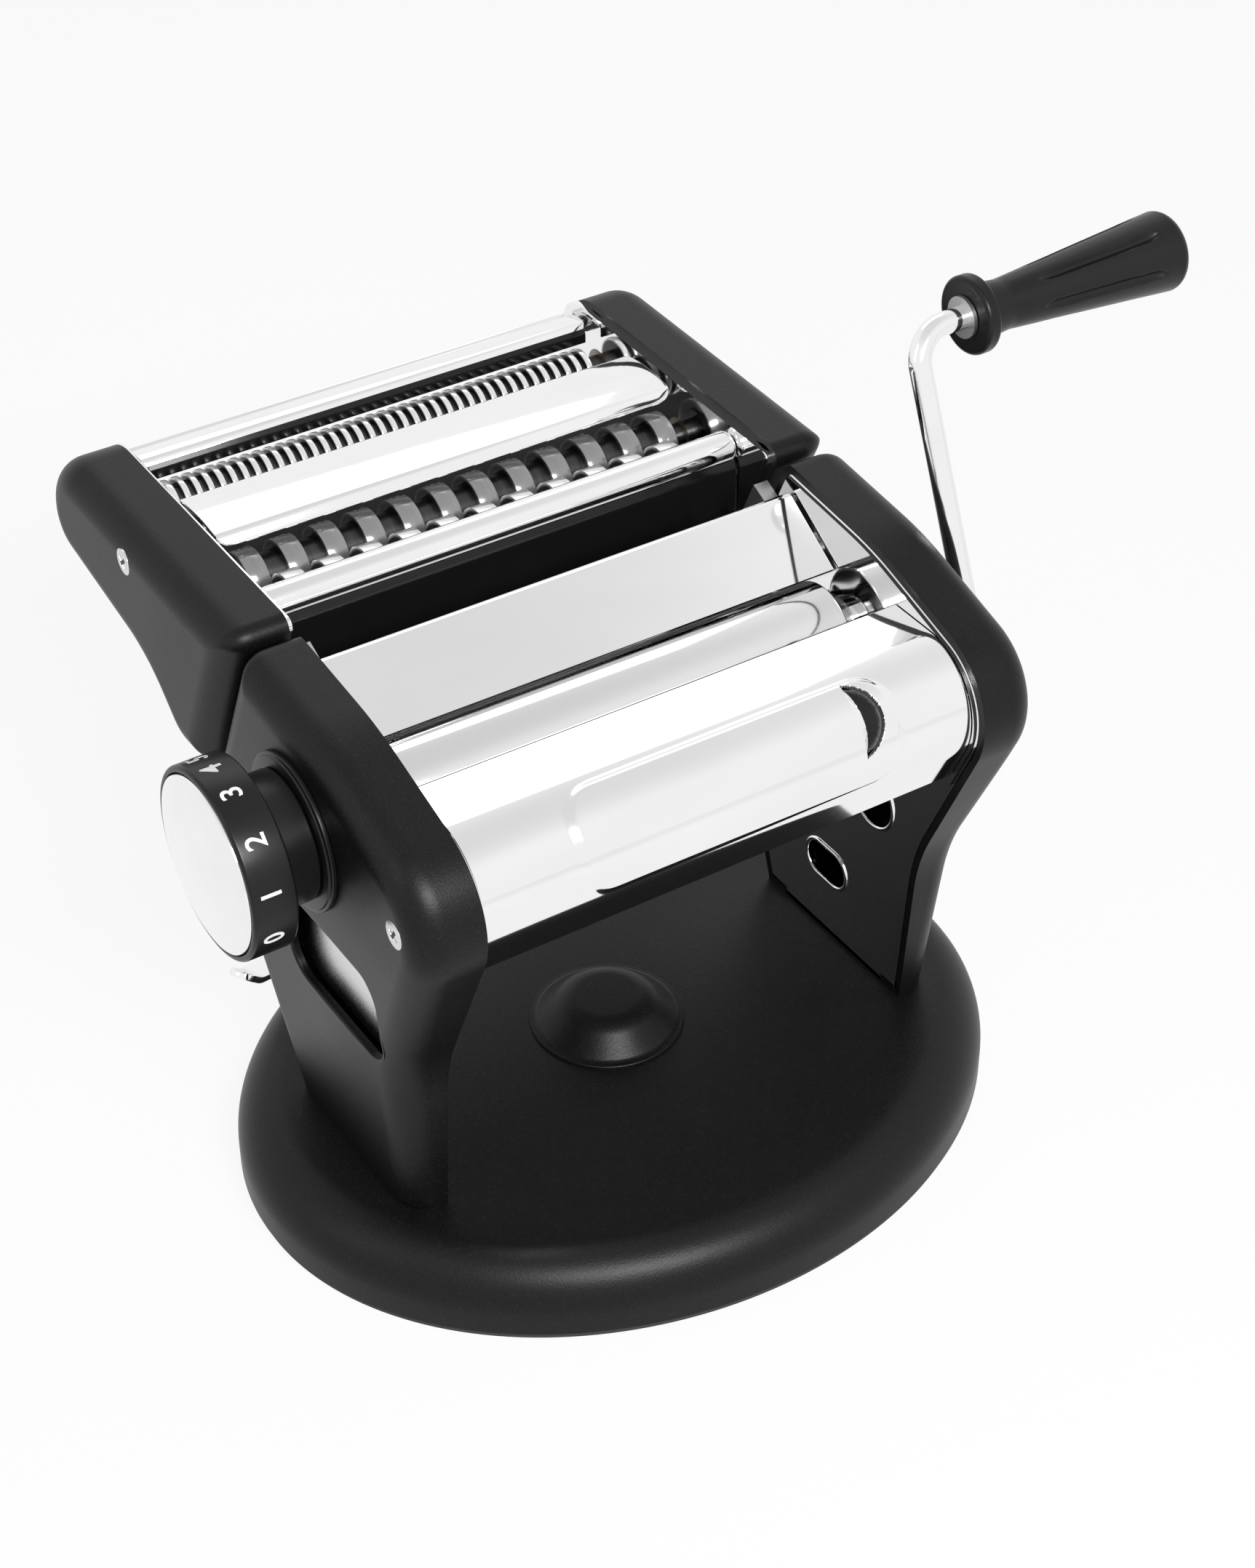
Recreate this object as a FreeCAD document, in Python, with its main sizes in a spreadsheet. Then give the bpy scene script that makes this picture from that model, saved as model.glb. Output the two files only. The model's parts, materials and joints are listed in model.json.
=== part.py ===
import FreeCAD, Part
import math
import os
import Sketcher

Vector = FreeCAD.Vector
Placement = FreeCAD.Placement
Rotation = FreeCAD.Rotation

# A hand-cranked pasta roller machine on an oval suction base, with a lift-off cutter attachment behind the rollers.
# Frame: origin on the floor under the middle of the oval base, X along the rollers towards the crank,
# Y to the cutter attachment, Z up, millimetres.

SIZES = {
    # Oval base
    "base_half_length": 124.0,
    "base_half_width": 101.0,
    "base_top": 26.0,
    "base_lift": 2.0,
    "base_wall": 2.5,
    "base_round": 16.0,
    "ring_inset": 0.8,
    "ring_width": 5.0,
    # Suction drive in the base
    "stem_y": 5.0,
    "lever_axis_z": 13.0,
    "lever_turn": 117.4,
    "shaft_radius": 3.0,
    "shaft_end": 112.0,
    "eccentric_throw": 1.6,
    "eccentric_radius": 2.5,
    "eccentric_half_length": 8.0,
    "web_radius": 5.0,
    "web_thickness": 2.0,
    "lever_swing": 140.0,
    "lever_rise": 20.0,
    "lever_reach": 45.0,
    "lever_width": 9.0,
    "lever_thickness": 2.5,
    "lever_hub_radius": 5.5,
    "lever_tip_length": 9.0,
    "lever_tip_bend": 24.0,
    "bracket_distance": 20.0,
    "bracket_width": 22.0,
    "bracket_thickness": 2.0,
    "bracket_drop": 15.0,
    "stem_radius": 5.0,
    "yoke_half_width": 8.0,
    "yoke_half_height": 7.0,
    "cup_radius": 44.0,
    "cup_bottom": 0.6,
    "cup_thickness": 3.2,
    "cup_hollow": 1.8,
    "cap_radius": 22.0,
    "cap_top_radius": 13.0,
    "cap_height": 9.5,
    "cap_round": 5.5,
    "cap_flange": 2.5,
    "cap_flange_thickness": 1.0,
    "cap_wall": 1.6,
    "stem_opening": 15.0,
    # Side covers and frames
    "inner_half": 83.0,
    "cover_depth": 21.0,
    "cover_wall": 2.5,
    "rim_round": 10.0,
    "taper_top": 132.0,
    "taper_inset": 8.0,
    "frame_thickness": 2.0,
    "frame_foot": 10.0,
    "frame_foot_thickness": 2.5,
    "end_plate_thickness": 1.5,
    "end_plate_margin": 3.2,
    "end_plate_bottom": 124.0,
    "leg_front": -38.0,
    "leg_rear": 34.0,
    "waist_y": -42.5,
    "waist_z": 85.0,
    "waist_round": 70.0,
    "nose_y": -78.0,
    "nose_z": 164.5,
    "nose_round": 26.0,
    "brow_y": -12.0,
    "brow_z": 184.5,
    "brow_round": 110.0,
    "crest_y": 32.0,
    "crest_z": 189.0,
    "crest_round": 4.0,
    "knee_y": 65.0,
    "knee_z": 118.0,
    "knee_round": 12.0,
    "window_front": -38.0,
    "window_rear": 16.0,
    "window_bottom": 87.0,
    "window_top": 119.0,
    "window_round": 9.0,
    "round_hole_y": -19.0,
    "round_hole_z": 94.0,
    "round_hole_radius": 10.0,
    "slot_hole_y": 3.0,
    "slot_hole_z": 53.0,
    "slot_hole_radius": 6.5,
    "slot_hole_length": 8.0,
    "leg_screw_front": -18.0,
    "leg_screw_rear": 16.0,
    "screw_radius": 2.0,
    "screw_head_radius": 4.2,
    "screw_head_height": 1.6,
    "screw_length": 9.0,
    "cover_screw_y": -55.0,
    "cover_screw_z": 151.0,
    "screw_proud": 0.3,
    # Running gear
    "running_clearance": 0.05,
    "assembly_clearance": 0.3,
    "roller_radius": 15.5,
    "roller_half_length": 75.0,
    "roller_gap": 0.5,
    "roller_z": 149.5,
    "rear_roller_y": 0.0,
    "opening_travel": 2.4,
    "journal_radius": 6.0,
    "bush_radius": 8.0,
    "bush_flange": 2.0,
    "bush_flange_thickness": 1.2,
    "block_half_height": 12.0,
    "block_front": -11.0,
    "block_rear": 24.0,
    "block_thickness": 3.0,
    "bar_y": 19.5,
    "bar_z": 143.0,
    "bar_radius": 3.0,
    "roller_gear_teeth": 16.0,
    "roller_gear_width": 4.5,
    "drive_module": 1.5,
    "drive_gear_teeth": 11.0,
    "pinion_teeth": 11.0,
    "drive_gear_width": 4.0,
    "gear_backlash": 0.3,
    "gear_space": 0.7,
    "crank_y": -24.4,
    "drive_shaft_radius": 5.5,
    "drive_bush_wall": 1.5,
    "rod_radius": 3.6,
    "crank_length": 104.0,
    "crank_lean": 23.2,
    "crank_plane": 116.0,
    "rod_bend": 11.0,
    "rod_seat": 9.0,
    "grip_start": 135.0,
    "grip_flange_radius": 12.2,
    "grip_flange_width": 4.5,
    "grip_neck_radius": 7.8,
    "grip_neck_length": 9.0,
    "grip_end_radius": 12.8,
    "grip_end": 213.0,
    "grip_end_round": 3.0,
    "flute_radius": 2.6,
    "flute_depth": 0.9,
    "flute_count": 6.0,
    "flute_start": 160.0,
    "flute_end": 203.0,
    "washer_radius": 6.5,
    "washer_thickness": 1.2,
    # Dial and its cam
    "dial_sweep": 320.0,
    "cam_radius": 9.0,
    "cam_width": 4.0,
    "cam_shaft_radius": 5.0,
    "follower_half_height": 4.0,
    "follower_thickness": 3.0,
    "collar_radius": 23.8,
    "collar_height": 2.2,
    "collar_bore": 11.0,
    "knob_neck_radius": 19.5,
    "knob_neck_length": 11.5,
    "knob_band_radius": 28.6,
    "knob_band_width": 13.5,
    "knob_wall": 3.0,
    "knob_hub_radius": 8.5,
    "cap_face_radius": 26.4,
    "cap_dome": 3.2,
    "pull_travel": 4.0,
    "spring_radius": 7.6,
    # Sheet metal between the frames
    "sheet_thickness": 1.4,
    "sheet_half_length": 81.2,
    "shell_centre_y": -42.0,
    "shell_centre_z": 149.0,
    "shell_round": 22.0,
    "shell_top_edge": -26.0,
    "shell_tail_turn": 25.0,
    "shell_tail_length": 13.0,
    "hopper_top_y": 28.0,
    "hopper_top_z": 182.5,
    "hopper_bottom_y": 3.5,
    "hopper_bottom_z": 167.3,
    "hopper_lip": 6.0,
    "rear_shell_inset": 6.0,
    "rear_shell_top": 176.0,
    "rear_shell_bottom": 124.0,
    "tie_radius": 3.0,
    "tie_front_y": -50.0,
    "tie_front_z": 129.0,
    "tie_rear_y": 44.0,
    "tie_rear_z": 122.0,
    "tie_low_y": 24.0,
    "tie_low_z": 118.0,
    "scraper_width": 9.0,
    "scraper_thickness": 1.2,
    "scraper_lean": 60.0,
    # Cutter attachment
    "cutter_gap": 3.2,
    "cutter_top": 190.5,
    "cutter_bottom": 129.5,
    "cutter_crest_round": 5.0,
    "cutter_tail_y": 159.0,
    "cutter_tail_top": 193.0,
    "cutter_tail_round": 12.0,
    "cutter_chin_y": 160.0,
    "cutter_chin_z": 160.0,
    "cutter_chin_round": 16.0,
    "cutter_belly_y": 98.0,
    "cutter_belly_z": 147.0,
    "cutter_belly_round": 40.0,
    "cutter_heel_y": 79.0,
    "cutter_heel_round": 16.0,
    "cutter_toe_round": 6.0,
    "cutter_plate_thickness": 2.0,
    "cutter_screw_y": 103.0,
    "cutter_screw_z": 181.0,
    "wide_axis_z": 171.0,
    "wide_front_y": 70.5,
    "wide_radius": 10.0,
    "wide_groove": 3.0,
    "wide_pitch": 13.0,
    "fine_axis_z": 173.0,
    "fine_front_y": 121.0,
    "fine_radius": 8.0,
    "fine_groove": 2.0,
    "fine_pitch": 4.0,
    "fine_sides": 12.0,
    "cutter_mesh_clearance": 0.4,
    "cutter_side_clearance": 0.2,
    "cutter_journal_radius": 4.0,
    "cutter_bush_wall": 2.0,
    "cutter_gear_width": 5.0,
    "wide_gear_teeth": 14.0,
    "fine_gear_teeth": 12.0,
    "socket_radius": 6.0,
    "front_bar_y": 59.5,
    "front_bar_z": 182.0,
    "front_bar_radius": 5.0,
    "guide_top": 187.5,
    "mid_front_y": 88.5,
    "mid_rear_y": 118.0,
    "guide_crown": 1.8,
    "guide_fall": 2.5,
    "rear_guide_front_y": 138.5,
    "rear_guide_rear_y": 154.0,
    "rear_guide_tail_z": 176.0,
    "cutter_tie_radius": 3.0,
    "cutter_tie_front_y": 66.0,
    "cutter_tie_front_z": 142.0,
    "cutter_tie_rear_y": 149.0,
    "cutter_tie_rear_z": 164.0,
    "comb_height": 12.0,
    "comb_thickness": 2.5,
    "comb_finger": 4.0,
    "rail_inset": 4.0,
    "rail_length": 34.0,
    "rail_start": 12.0,
    "rail_width": 5.0,
    "hook_length": 10.0,
}

doc = FreeCAD.newDocument("pasta_roller_machine")
sheet = doc.addObject("Spreadsheet::Sheet", "Sizes")
for row, (name, number) in enumerate(SIZES.items(), start=1):
    sheet.set("A%d" % row, name)
    sheet.set("B%d" % row, str(number))
    sheet.setAlias("B%d" % row, name)
doc.recompute()

ALONG_X = Rotation(Vector(0, 1, 0), 90)
NODES = []


def size(name):
    """A driving dimension, read from the sheet."""
    return float(getattr(sheet, name))


def value(expression):
    """The number that an expression on the sheet gives."""
    result = sheet.evalExpression(expression)
    return float(getattr(result, "Value", result))


def keep(feature, label):
    """Names a finished sub-part, whose label becomes its file's name."""
    feature.Label = label
    NODES.append(feature)
    return feature


def bind(feature, **expressions):
    """Binds properties to the sheet; a double underscore in a name stands for a dot."""
    for path, expression in expressions.items():
        feature.setExpression(path.replace("__", "."), str(expression))
    return feature


def solid(label, shape):
    """A sub-part whose shape is worked out from the sheet by Part's own functions."""
    feature = doc.addObject("Part::Feature", label)
    feature.Shape = shape
    return feature


def rod(name, radius, start, length, y, z):
    """A cylinder along +X from the plane X = start, on the axis (y, z)."""
    feature = doc.addObject("Part::Cylinder", name)
    feature.Placement = Placement(Vector(), ALONG_X)
    bind(feature, Radius=radius, Height=length)
    bind(feature, Placement__Base__x=start, Placement__Base__y=y, Placement__Base__z=z)
    return feature


def post(name, radius, bottom, height, x, y):
    """An upright cylinder."""
    feature = doc.addObject("Part::Cylinder", name)
    bind(feature, Radius=radius, Height=height)
    bind(feature, Placement__Base__x=x, Placement__Base__y=y, Placement__Base__z=bottom)
    return feature


def fuse(name, parts):
    feature = doc.addObject("Part::MultiFuse", name)
    feature.Shapes = parts
    feature.Refine = True
    return feature


def cut(name, base, tools):
    feature = doc.addObject("Part::Cut", name)
    feature.Base = base
    feature.Tool = tools[0] if len(tools) == 1 else fuse(name + "_tools", tools)
    feature.Refine = True
    return feature


def group(name, parts):
    """Identical pieces that share one node, as separate solids."""
    feature = doc.addObject("Part::Compound", name)
    feature.Links = parts
    return feature


def origin_plane(body, role):
    return [item for item in body.Origin.OriginFeatures if item.Role == role][0]


def sketch_on(body, role, name, offset="0"):
    """A sketch on one of the body's own origin planes, moved along its normal."""
    sketch = body.newObject("Sketcher::SketchObject", name)
    sketch.AttachmentSupport = [(origin_plane(body, role), "")]
    sketch.MapMode = "FlatFace"
    sketch.setExpression("AttachmentOffset.Base.z", offset)
    return sketch


def outline(sketch, corners):
    """A closed outline of straight sides whose corners are bound to the sheet."""
    points = [Vector(value(across), value(up), 0) for across, up in corners]
    count = len(points)
    first = sketch.GeometryCount
    for index in range(count):
        sketch.addGeometry(Part.LineSegment(points[index], points[(index + 1) % count]), False)
    for index in range(count):
        after = first + (index + 1) % count
        sketch.addConstraint(Sketcher.Constraint("Coincident", first + index, 2, after, 1))
    for index, (across, up) in enumerate(corners):
        for kind, number, expression in (("DistanceX", points[index].x, across), ("DistanceY", points[index].y, up)):
            place = sketch.addConstraint(Sketcher.Constraint(kind, -1, 1, first + index, 1, number))
            sketch.setExpression("Constraints[%d]" % place, expression)


def new_body(label):
    return doc.addObject("PartDesign::Body", label)


def turned(label, corners, y="0", z="0"):
    """A piece turned about the X axis: the corners are (x, radius), and the axis is then placed at (y, z)."""
    body = new_body(label)
    sketch = sketch_on(body, "XY_Plane", label + "_profile")
    outline(sketch, corners)
    turn = body.newObject("PartDesign::Revolution", label + "_turn")
    turn.Profile = sketch
    turn.ReferenceAxis = (sketch, ["H_Axis"])
    turn.Angle = 360
    bind(body, Placement__Base__y=y, Placement__Base__z=z)
    return body


def slab(label, corners, start, length):
    """An outline in the YZ plane padded along +X from the plane X = start."""
    body = new_body(label)
    sketch = sketch_on(body, "YZ_Plane", label + "_profile", start)
    outline(sketch, corners)
    pad = body.newObject("PartDesign::Pad", label + "_pad")
    pad.Profile = sketch
    pad.setExpression("Length", length)
    return body


def rounded_wire(corners, x):
    """A closed wire in a plane X = x: straight sides between (y, z, radius) corners, joined by tangent arcs."""
    edges = []
    ends = []
    count = len(corners)
    for index in range(count):
        here = Vector(x, corners[index][0], corners[index][1])
        back = Vector(x, corners[index - 1][0], corners[index - 1][1]) - here
        ahead = Vector(x, corners[(index + 1) % count][0], corners[(index + 1) % count][1]) - here
        back.normalize()
        ahead.normalize()
        radius = corners[index][2]
        half = back.getAngle(ahead) / 2
        reach = radius / math.tan(half)
        middle = back + ahead
        middle.normalize()
        crown = here + middle * (radius / math.sin(half) - radius)
        ends.append((here + back * reach, crown, here + ahead * reach, radius))
    for index in range(count):
        start, crown, stop, radius = ends[index]
        if radius > 0:
            edges.append(Part.Arc(start, crown, stop).toShape())
        following = ends[(index + 1) % count][0]
        edges.append(Part.makeLine(stop, following))
    return Part.Wire(edges)


def prism(wire, length):
    return Part.Face(wire).extrude(Vector(length, 0, 0))


def bore(radius, start, length, y, z):
    """A plain cylinder along +X, used as a cutting shape."""
    return Part.makeCylinder(radius, length, Vector(start, y, z), Vector(1, 0, 0))


def mirrored(shape, side):
    """The shape itself on the crank side, or its mirror image on the dial side."""
    return shape if side > 0 else shape.mirror(Vector(), Vector(1, 0, 0))


SIDES = {"right": 1, "left": -1}

# Places worked out from the driving dimensions
FRONT_ROLLER_Y = size("rear_roller_y") - 2 * size("roller_radius") - size("roller_gap")
ROLLER_CENTRES = size("rear_roller_y") - FRONT_ROLLER_Y
DRIVE_CENTRES = size("drive_module") * (size("drive_gear_teeth") + size("pinion_teeth")) / 2
CRANK_Z = size("roller_z") - math.sqrt(DRIVE_CENTRES ** 2 - (size("crank_y") - FRONT_ROLLER_Y) ** 2)
FRAME_OUT = size("inner_half") + size("frame_thickness")
COVER_OUT = size("inner_half") + size("cover_depth")
BLOCK_IN = FRAME_OUT + size("assembly_clearance")
BLOCK_OUT = BLOCK_IN + size("block_thickness")
ROLLER_GEAR_X = BLOCK_OUT + size("gear_space")
DRIVE_GEAR_X = ROLLER_GEAR_X + size("roller_gear_width") + size("gear_space")
DRIVE_GEAR_END = DRIVE_GEAR_X + size("drive_gear_width")
CRANK_LEAN = math.radians(size("crank_lean"))
CRANK_TIP_Y = size("crank_y") + size("crank_length") * math.sin(CRANK_LEAN)
CRANK_TIP_Z = CRANK_Z + size("crank_length") * math.cos(CRANK_LEAN)
GAP_LEAN = math.atan2(size("knee_y") - size("crest_y"), size("crest_z") - size("knee_z"))


def gap_line(z):
    """Where the rear edge of the side covers lies at a height."""
    return size("crest_y") + (size("crest_z") - z) * math.tan(GAP_LEAN)


def corner(name):
    return (size(name + "_y"), size(name + "_z"), size(name + "_round"))


def main_corners():
    """The side outline of the machine: leg, waist, round nose, brow, crest and knee."""
    return [
        corner("crest"),
        corner("knee"),
        (size("leg_rear"), size("base_top"), 0),
        (size("leg_front"), size("base_top"), 0),
        corner("waist"),
        corner("nose"),
        corner("brow"),
    ]


def cutter_corners():
    """The side outline of the cutter attachment, whose front edge keeps a gap to the machine's rear edge."""
    step = size("cutter_gap") / math.cos(GAP_LEAN)
    top = size("cutter_top")
    bottom = size("cutter_bottom")
    return [
        (gap_line(top) + step, top, size("cutter_crest_round")),
        (size("cutter_tail_y"), size("cutter_tail_top"), size("cutter_tail_round")),
        corner("cutter_chin"),
        corner("cutter_belly"),
        (size("cutter_heel_y"), bottom, size("cutter_heel_round")),
        (gap_line(bottom) + step, bottom, size("cutter_toe_round")),
    ]


def leg_taper(inset):
    """The wedge that leans the outside of the legs inwards below the rollers."""
    top = Vector(COVER_OUT - inset, -200, size("taper_top"))
    low = Vector(COVER_OUT - inset - size("taper_inset"), -200, size("base_top"))
    drop = (low - top) * 0.3
    foot = low + drop
    far = COVER_OUT + 50
    points = [top, Vector(far, -200, top.z), Vector(far, -200, foot.z), foot, top]
    return Part.Face(Part.makePolygon(points)).extrude(Vector(0, 400, 0))


def rim_edges(shape, inner_x, floor_z):
    """The edges round the outer face, without those that stand on the floor plane."""
    found = []
    for edge in shape.Edges:
        box = edge.BoundBox
        if box.XMin > inner_x and box.ZMax > floor_z + 0.1:
            found.append(edge)
    return found


def cover_shape(corners, tapered):
    """A hollow side cover: the outline with a rounded outer rim, and a cavity one wall smaller."""
    inner = size("inner_half")
    wall = size("cover_wall")
    wire = rounded_wire(corners, inner)
    body = prism(wire, size("cover_depth"))
    room = prism(wire.makeOffset2D(-wall), size("cover_depth") - wall)
    if tapered:
        body = body.cut(leg_taper(0))
        room = room.cut(leg_taper(wall))
    floor = body.BoundBox.ZMin if tapered else -1
    half = inner + size("cover_depth") / 3
    body = body.makeFillet(size("rim_round"), rim_edges(body, half, floor))
    room = room.makeFillet(size("rim_round") - wall, rim_edges(room, half, floor + wall))
    return body.cut(room)


def screw_seat(y, z):
    """The hole and the flush seat of a cover screw, on the crank side."""
    head = size("screw_head_height")
    shank = bore(size("screw_radius"), COVER_OUT - size("screw_length"), size("screw_length"), y, z)
    return shank.fuse(bore(size("screw_head_radius"), COVER_OUT - head, head + 1, y, z))


def screw_shape(y, z):
    head = size("screw_head_height")
    shank = bore(size("screw_radius"), COVER_OUT - size("screw_length"), size("screw_length") - head, y, z)
    return shank.fuse(bore(size("screw_head_radius"), COVER_OUT - head, head + size("screw_proud"), y, z))


def rounded_box_wire(y_low, y_high, z_low, z_high, radius, x):
    corners = [(y_low, z_low, radius), (y_high, z_low, radius), (y_high, z_high, radius), (y_low, z_high, radius)]
    return rounded_wire(corners, x)


def slot_bore(radius, start, length, y, z, travel):
    """A slot along Y with round ends."""
    ends = bore(radius, start, length, y, z).fuse(bore(radius, start, length, y + travel, z))
    middle = Part.makeBox(length, travel, 2 * radius, Vector(start, y, z - radius))
    return ends.fuse(middle)


# Oval base

def oval(name, shrink, bottom, top):
    """An upright oval block, smaller all round than the base's outline."""
    ellipse = doc.addObject("Part::Ellipse", name + "_ellipse")
    bind(ellipse, MajorRadius="Sizes.base_half_length - (%s)" % shrink)
    bind(ellipse, MinorRadius="Sizes.base_half_width - (%s)" % shrink)
    bind(ellipse, Placement__Base__z=bottom)
    pull = doc.addObject("Part::Extrusion", name)
    pull.Base = ellipse
    pull.Dir = Vector(0, 0, 1)
    pull.Solid = True
    bind(pull, LengthFwd="%s - (%s)" % (top, bottom))
    return pull


def soft_top(name, base, top, rounding):
    """Rounds the edges that lie in the plane at the top of a block."""
    doc.recompute()
    soft = doc.addObject("Part::Fillet", name)
    soft.Base = base
    soft.Edges = [(number, value(rounding), value(rounding)) for number, edge in enumerate(base.Shape.Edges, start=1)
                  if edge.BoundBox.ZMin > value(top) - 0.1]
    return soft


def lever_place(distance=0.0):
    """The frame of the lever shaft: its X axis runs from the stem to the rim."""
    turn = Rotation(Vector(0, 0, 1), size("lever_turn"))
    start = Vector(0, size("stem_y"), size("lever_axis_z"))
    return Placement(start + turn.multVec(Vector(distance, 0, 0)), turn)


def build_base():
    roof = "Sizes.base_top - Sizes.base_wall"
    outer = soft_top("base_outer", oval("base_block", "0", "Sizes.base_lift", "Sizes.base_top"),
                     "Sizes.base_top", "Sizes.base_round")
    inner = soft_top("base_inner", oval("base_room", "Sizes.base_wall", "Sizes.base_lift", roof),
                     roof, "Sizes.base_round - Sizes.base_wall")
    well = post("stem_well", "Sizes.stem_opening", "Sizes.base_lift", "Sizes.base_top", "0", "Sizes.stem_y")
    rim_bore = doc.addObject("Part::Cylinder", "rim_bore")
    bind(rim_bore, Radius="Sizes.shaft_radius + Sizes.running_clearance", Height="Sizes.shaft_end")
    rim_bore.Placement = lever_place(size("bracket_distance")).multiply(Placement(Vector(), ALONG_X))
    holes = []
    for side in (1, -1):
        for where in ("Sizes.leg_screw_front", "Sizes.leg_screw_rear"):
            x = "%d * (Sizes.inner_half + Sizes.frame_foot / 2 + 1)" % side
            holes.append(post("leg_hole", "Sizes.screw_radius", "Sizes.base_lift", "Sizes.base_top", x, where))
    shell = cut("base_hollow", outer, [inner])
    keep(cut("base", shell, [well, rim_bore] + holes), "base_shell")
    rim = oval("ring_outer", "Sizes.ring_inset", "0", "Sizes.base_lift")
    hollow = oval("ring_inner", "Sizes.ring_inset + Sizes.ring_width", "0", "Sizes.base_lift")
    keep(cut("ring", rim, [hollow]), "base_ring")


def build_mechanism_cap():
    """The low domed cap over the suction stem."""
    dome = doc.addObject("Part::Cone", "cap_dome_block")
    bind(dome, Radius1="Sizes.cap_radius", Radius2="Sizes.cap_top_radius", Height="Sizes.cap_height")
    soft = soft_top("cap_soft", dome, "Sizes.cap_height", "Sizes.cap_round")
    hollow = doc.addObject("Part::Cone", "cap_hollow")
    bind(hollow, Radius1="Sizes.cap_radius - 2 * Sizes.cap_wall",
         Radius2="Sizes.cap_top_radius - 2 * Sizes.cap_wall", Height="Sizes.cap_height - Sizes.cap_wall")
    flange = post("cap_flange_disc", "Sizes.cap_radius + Sizes.cap_flange", "0", "Sizes.cap_flange_thickness",
                  "0", "0")
    cap = cut("cap", fuse("cap_block", [soft, flange]), [hollow])
    bind(cap, Placement__Base__y="Sizes.stem_y", Placement__Base__z="Sizes.base_top")
    keep(cap, "mechanism_cap")


def build_suction():
    """Suction cup on a stem, lifted by an eccentric on the lever shaft."""
    place = lever_place()
    half = size("eccentric_half_length")
    start_angle = math.radians(-size("lever_swing") / 2)
    offset_y = size("eccentric_throw") * math.cos(start_angle)
    offset_z = size("eccentric_throw") * math.sin(start_angle)
    pin = bore(size("eccentric_radius"), -half, 2 * half, offset_y, offset_z)
    web = bore(size("web_radius"), half, size("web_thickness"), 0, 0)
    start = half + size("web_thickness")
    shaft = bore(size("shaft_radius"), start, size("shaft_end") - start, 0, 0)
    keep(solid("shaft", pin.fuse([web, shaft]).removeSplitter()), "lever_shaft")
    NODES[-1].Placement = place

    width = size("lever_width")
    low = size("shaft_end") - width
    thickness = size("lever_thickness")
    hub = bore(size("lever_hub_radius"), low, width, 0, 0)
    arm = Part.makeBox(width, size("lever_reach"), thickness, Vector(low, 0, -thickness / 2))
    tip = Part.makeBox(width, size("lever_tip_length"), thickness, Vector(low, 0, -thickness / 2))
    tip = tip.makeFillet(width / 2 - 0.2, [edge for edge in tip.Edges if edge.BoundBox.YMin > 1
                                           and edge.BoundBox.ZLength > thickness / 2])
    tip.rotate(Vector(0, 0, 0), Vector(1, 0, 0), size("lever_tip_bend"))
    tip.translate(Vector(0, size("lever_reach"), 0))
    knuckle = bore(thickness / 2, low, width, size("lever_reach"), 0)
    strip = arm.fuse([tip, knuckle])
    strip.rotate(Vector(0, 0, 0), Vector(1, 0, 0), size("lever_rise"))
    lever = hub.fuse(strip).cut(bore(size("shaft_radius"), low - 1, width + 2, 0, 0)).removeSplitter()
    keep(solid("lever", lever), "suction_lever")
    NODES[-1].Placement = place

    plate = Part.makeBox(size("bracket_thickness"), size("bracket_width"), size("bracket_drop"),
                         Vector(size("bracket_distance"), -size("bracket_width") / 2, 0))
    plate.translate(Vector(0, 0, size("base_top") - size("base_wall") - size("lever_axis_z") - size("bracket_drop")))
    eye = bore(size("shaft_radius") + size("running_clearance"), 0, 2 * size("bracket_distance"), 0, 0)
    keep(solid("bracket", plate.cut(eye)), "lever_bracket")
    NODES[-1].Placement = place

    yoke_y = size("yoke_half_width")
    yoke_z = size("yoke_half_height")
    yoke_x = half - 2 * size("assembly_clearance")
    yoke = Part.makeBox(2 * yoke_x, 2 * yoke_y, 2 * yoke_z, Vector(-yoke_x, -yoke_y, -yoke_z))
    slot_half = size("eccentric_radius") + 2 * size("assembly_clearance")
    side = size("eccentric_throw") + slot_half
    window = Part.makeBox(4 * half, 2 * side, 2 * slot_half, Vector(-2 * half, -side, offset_z - slot_half))
    foot = size("lever_axis_z") - size("cup_bottom") - size("cup_thickness")
    stem = Part.makeCylinder(size("stem_radius"), foot - yoke_z + 1, Vector(0, 0, -foot))
    keep(solid("stem", yoke.cut(window).fuse(stem).removeSplitter()), "suction_stem")
    NODES[-1].Placement = place

    disc = post("cup_disc", "Sizes.cup_radius", "Sizes.cup_bottom", "Sizes.cup_thickness", "0", "Sizes.stem_y")
    hollow = doc.addObject("Part::Cone", "cup_hollow")
    bind(hollow, Radius1="Sizes.cup_radius - 4", Radius2="Sizes.stem_radius", Height="Sizes.cup_hollow")
    bind(hollow, Placement__Base__y="Sizes.stem_y", Placement__Base__z="Sizes.cup_bottom")
    keep(cut("cup", disc, [hollow]), "suction_cup")


# Side frames, covers and end plates

def leg_foot(side_clearance):
    """The bent foot of a side frame, which stands on the base; the cover is cut away round it."""
    low_y = size("leg_front") + size("rim_round")
    high_y = size("leg_rear") - size("rim_round")
    return Part.makeBox(size("frame_foot") + side_clearance, high_y - low_y + 2 * side_clearance,
                        size("frame_foot_thickness") + side_clearance + 2,
                        Vector(size("inner_half"), low_y - side_clearance, size("base_top") - 2))


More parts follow.
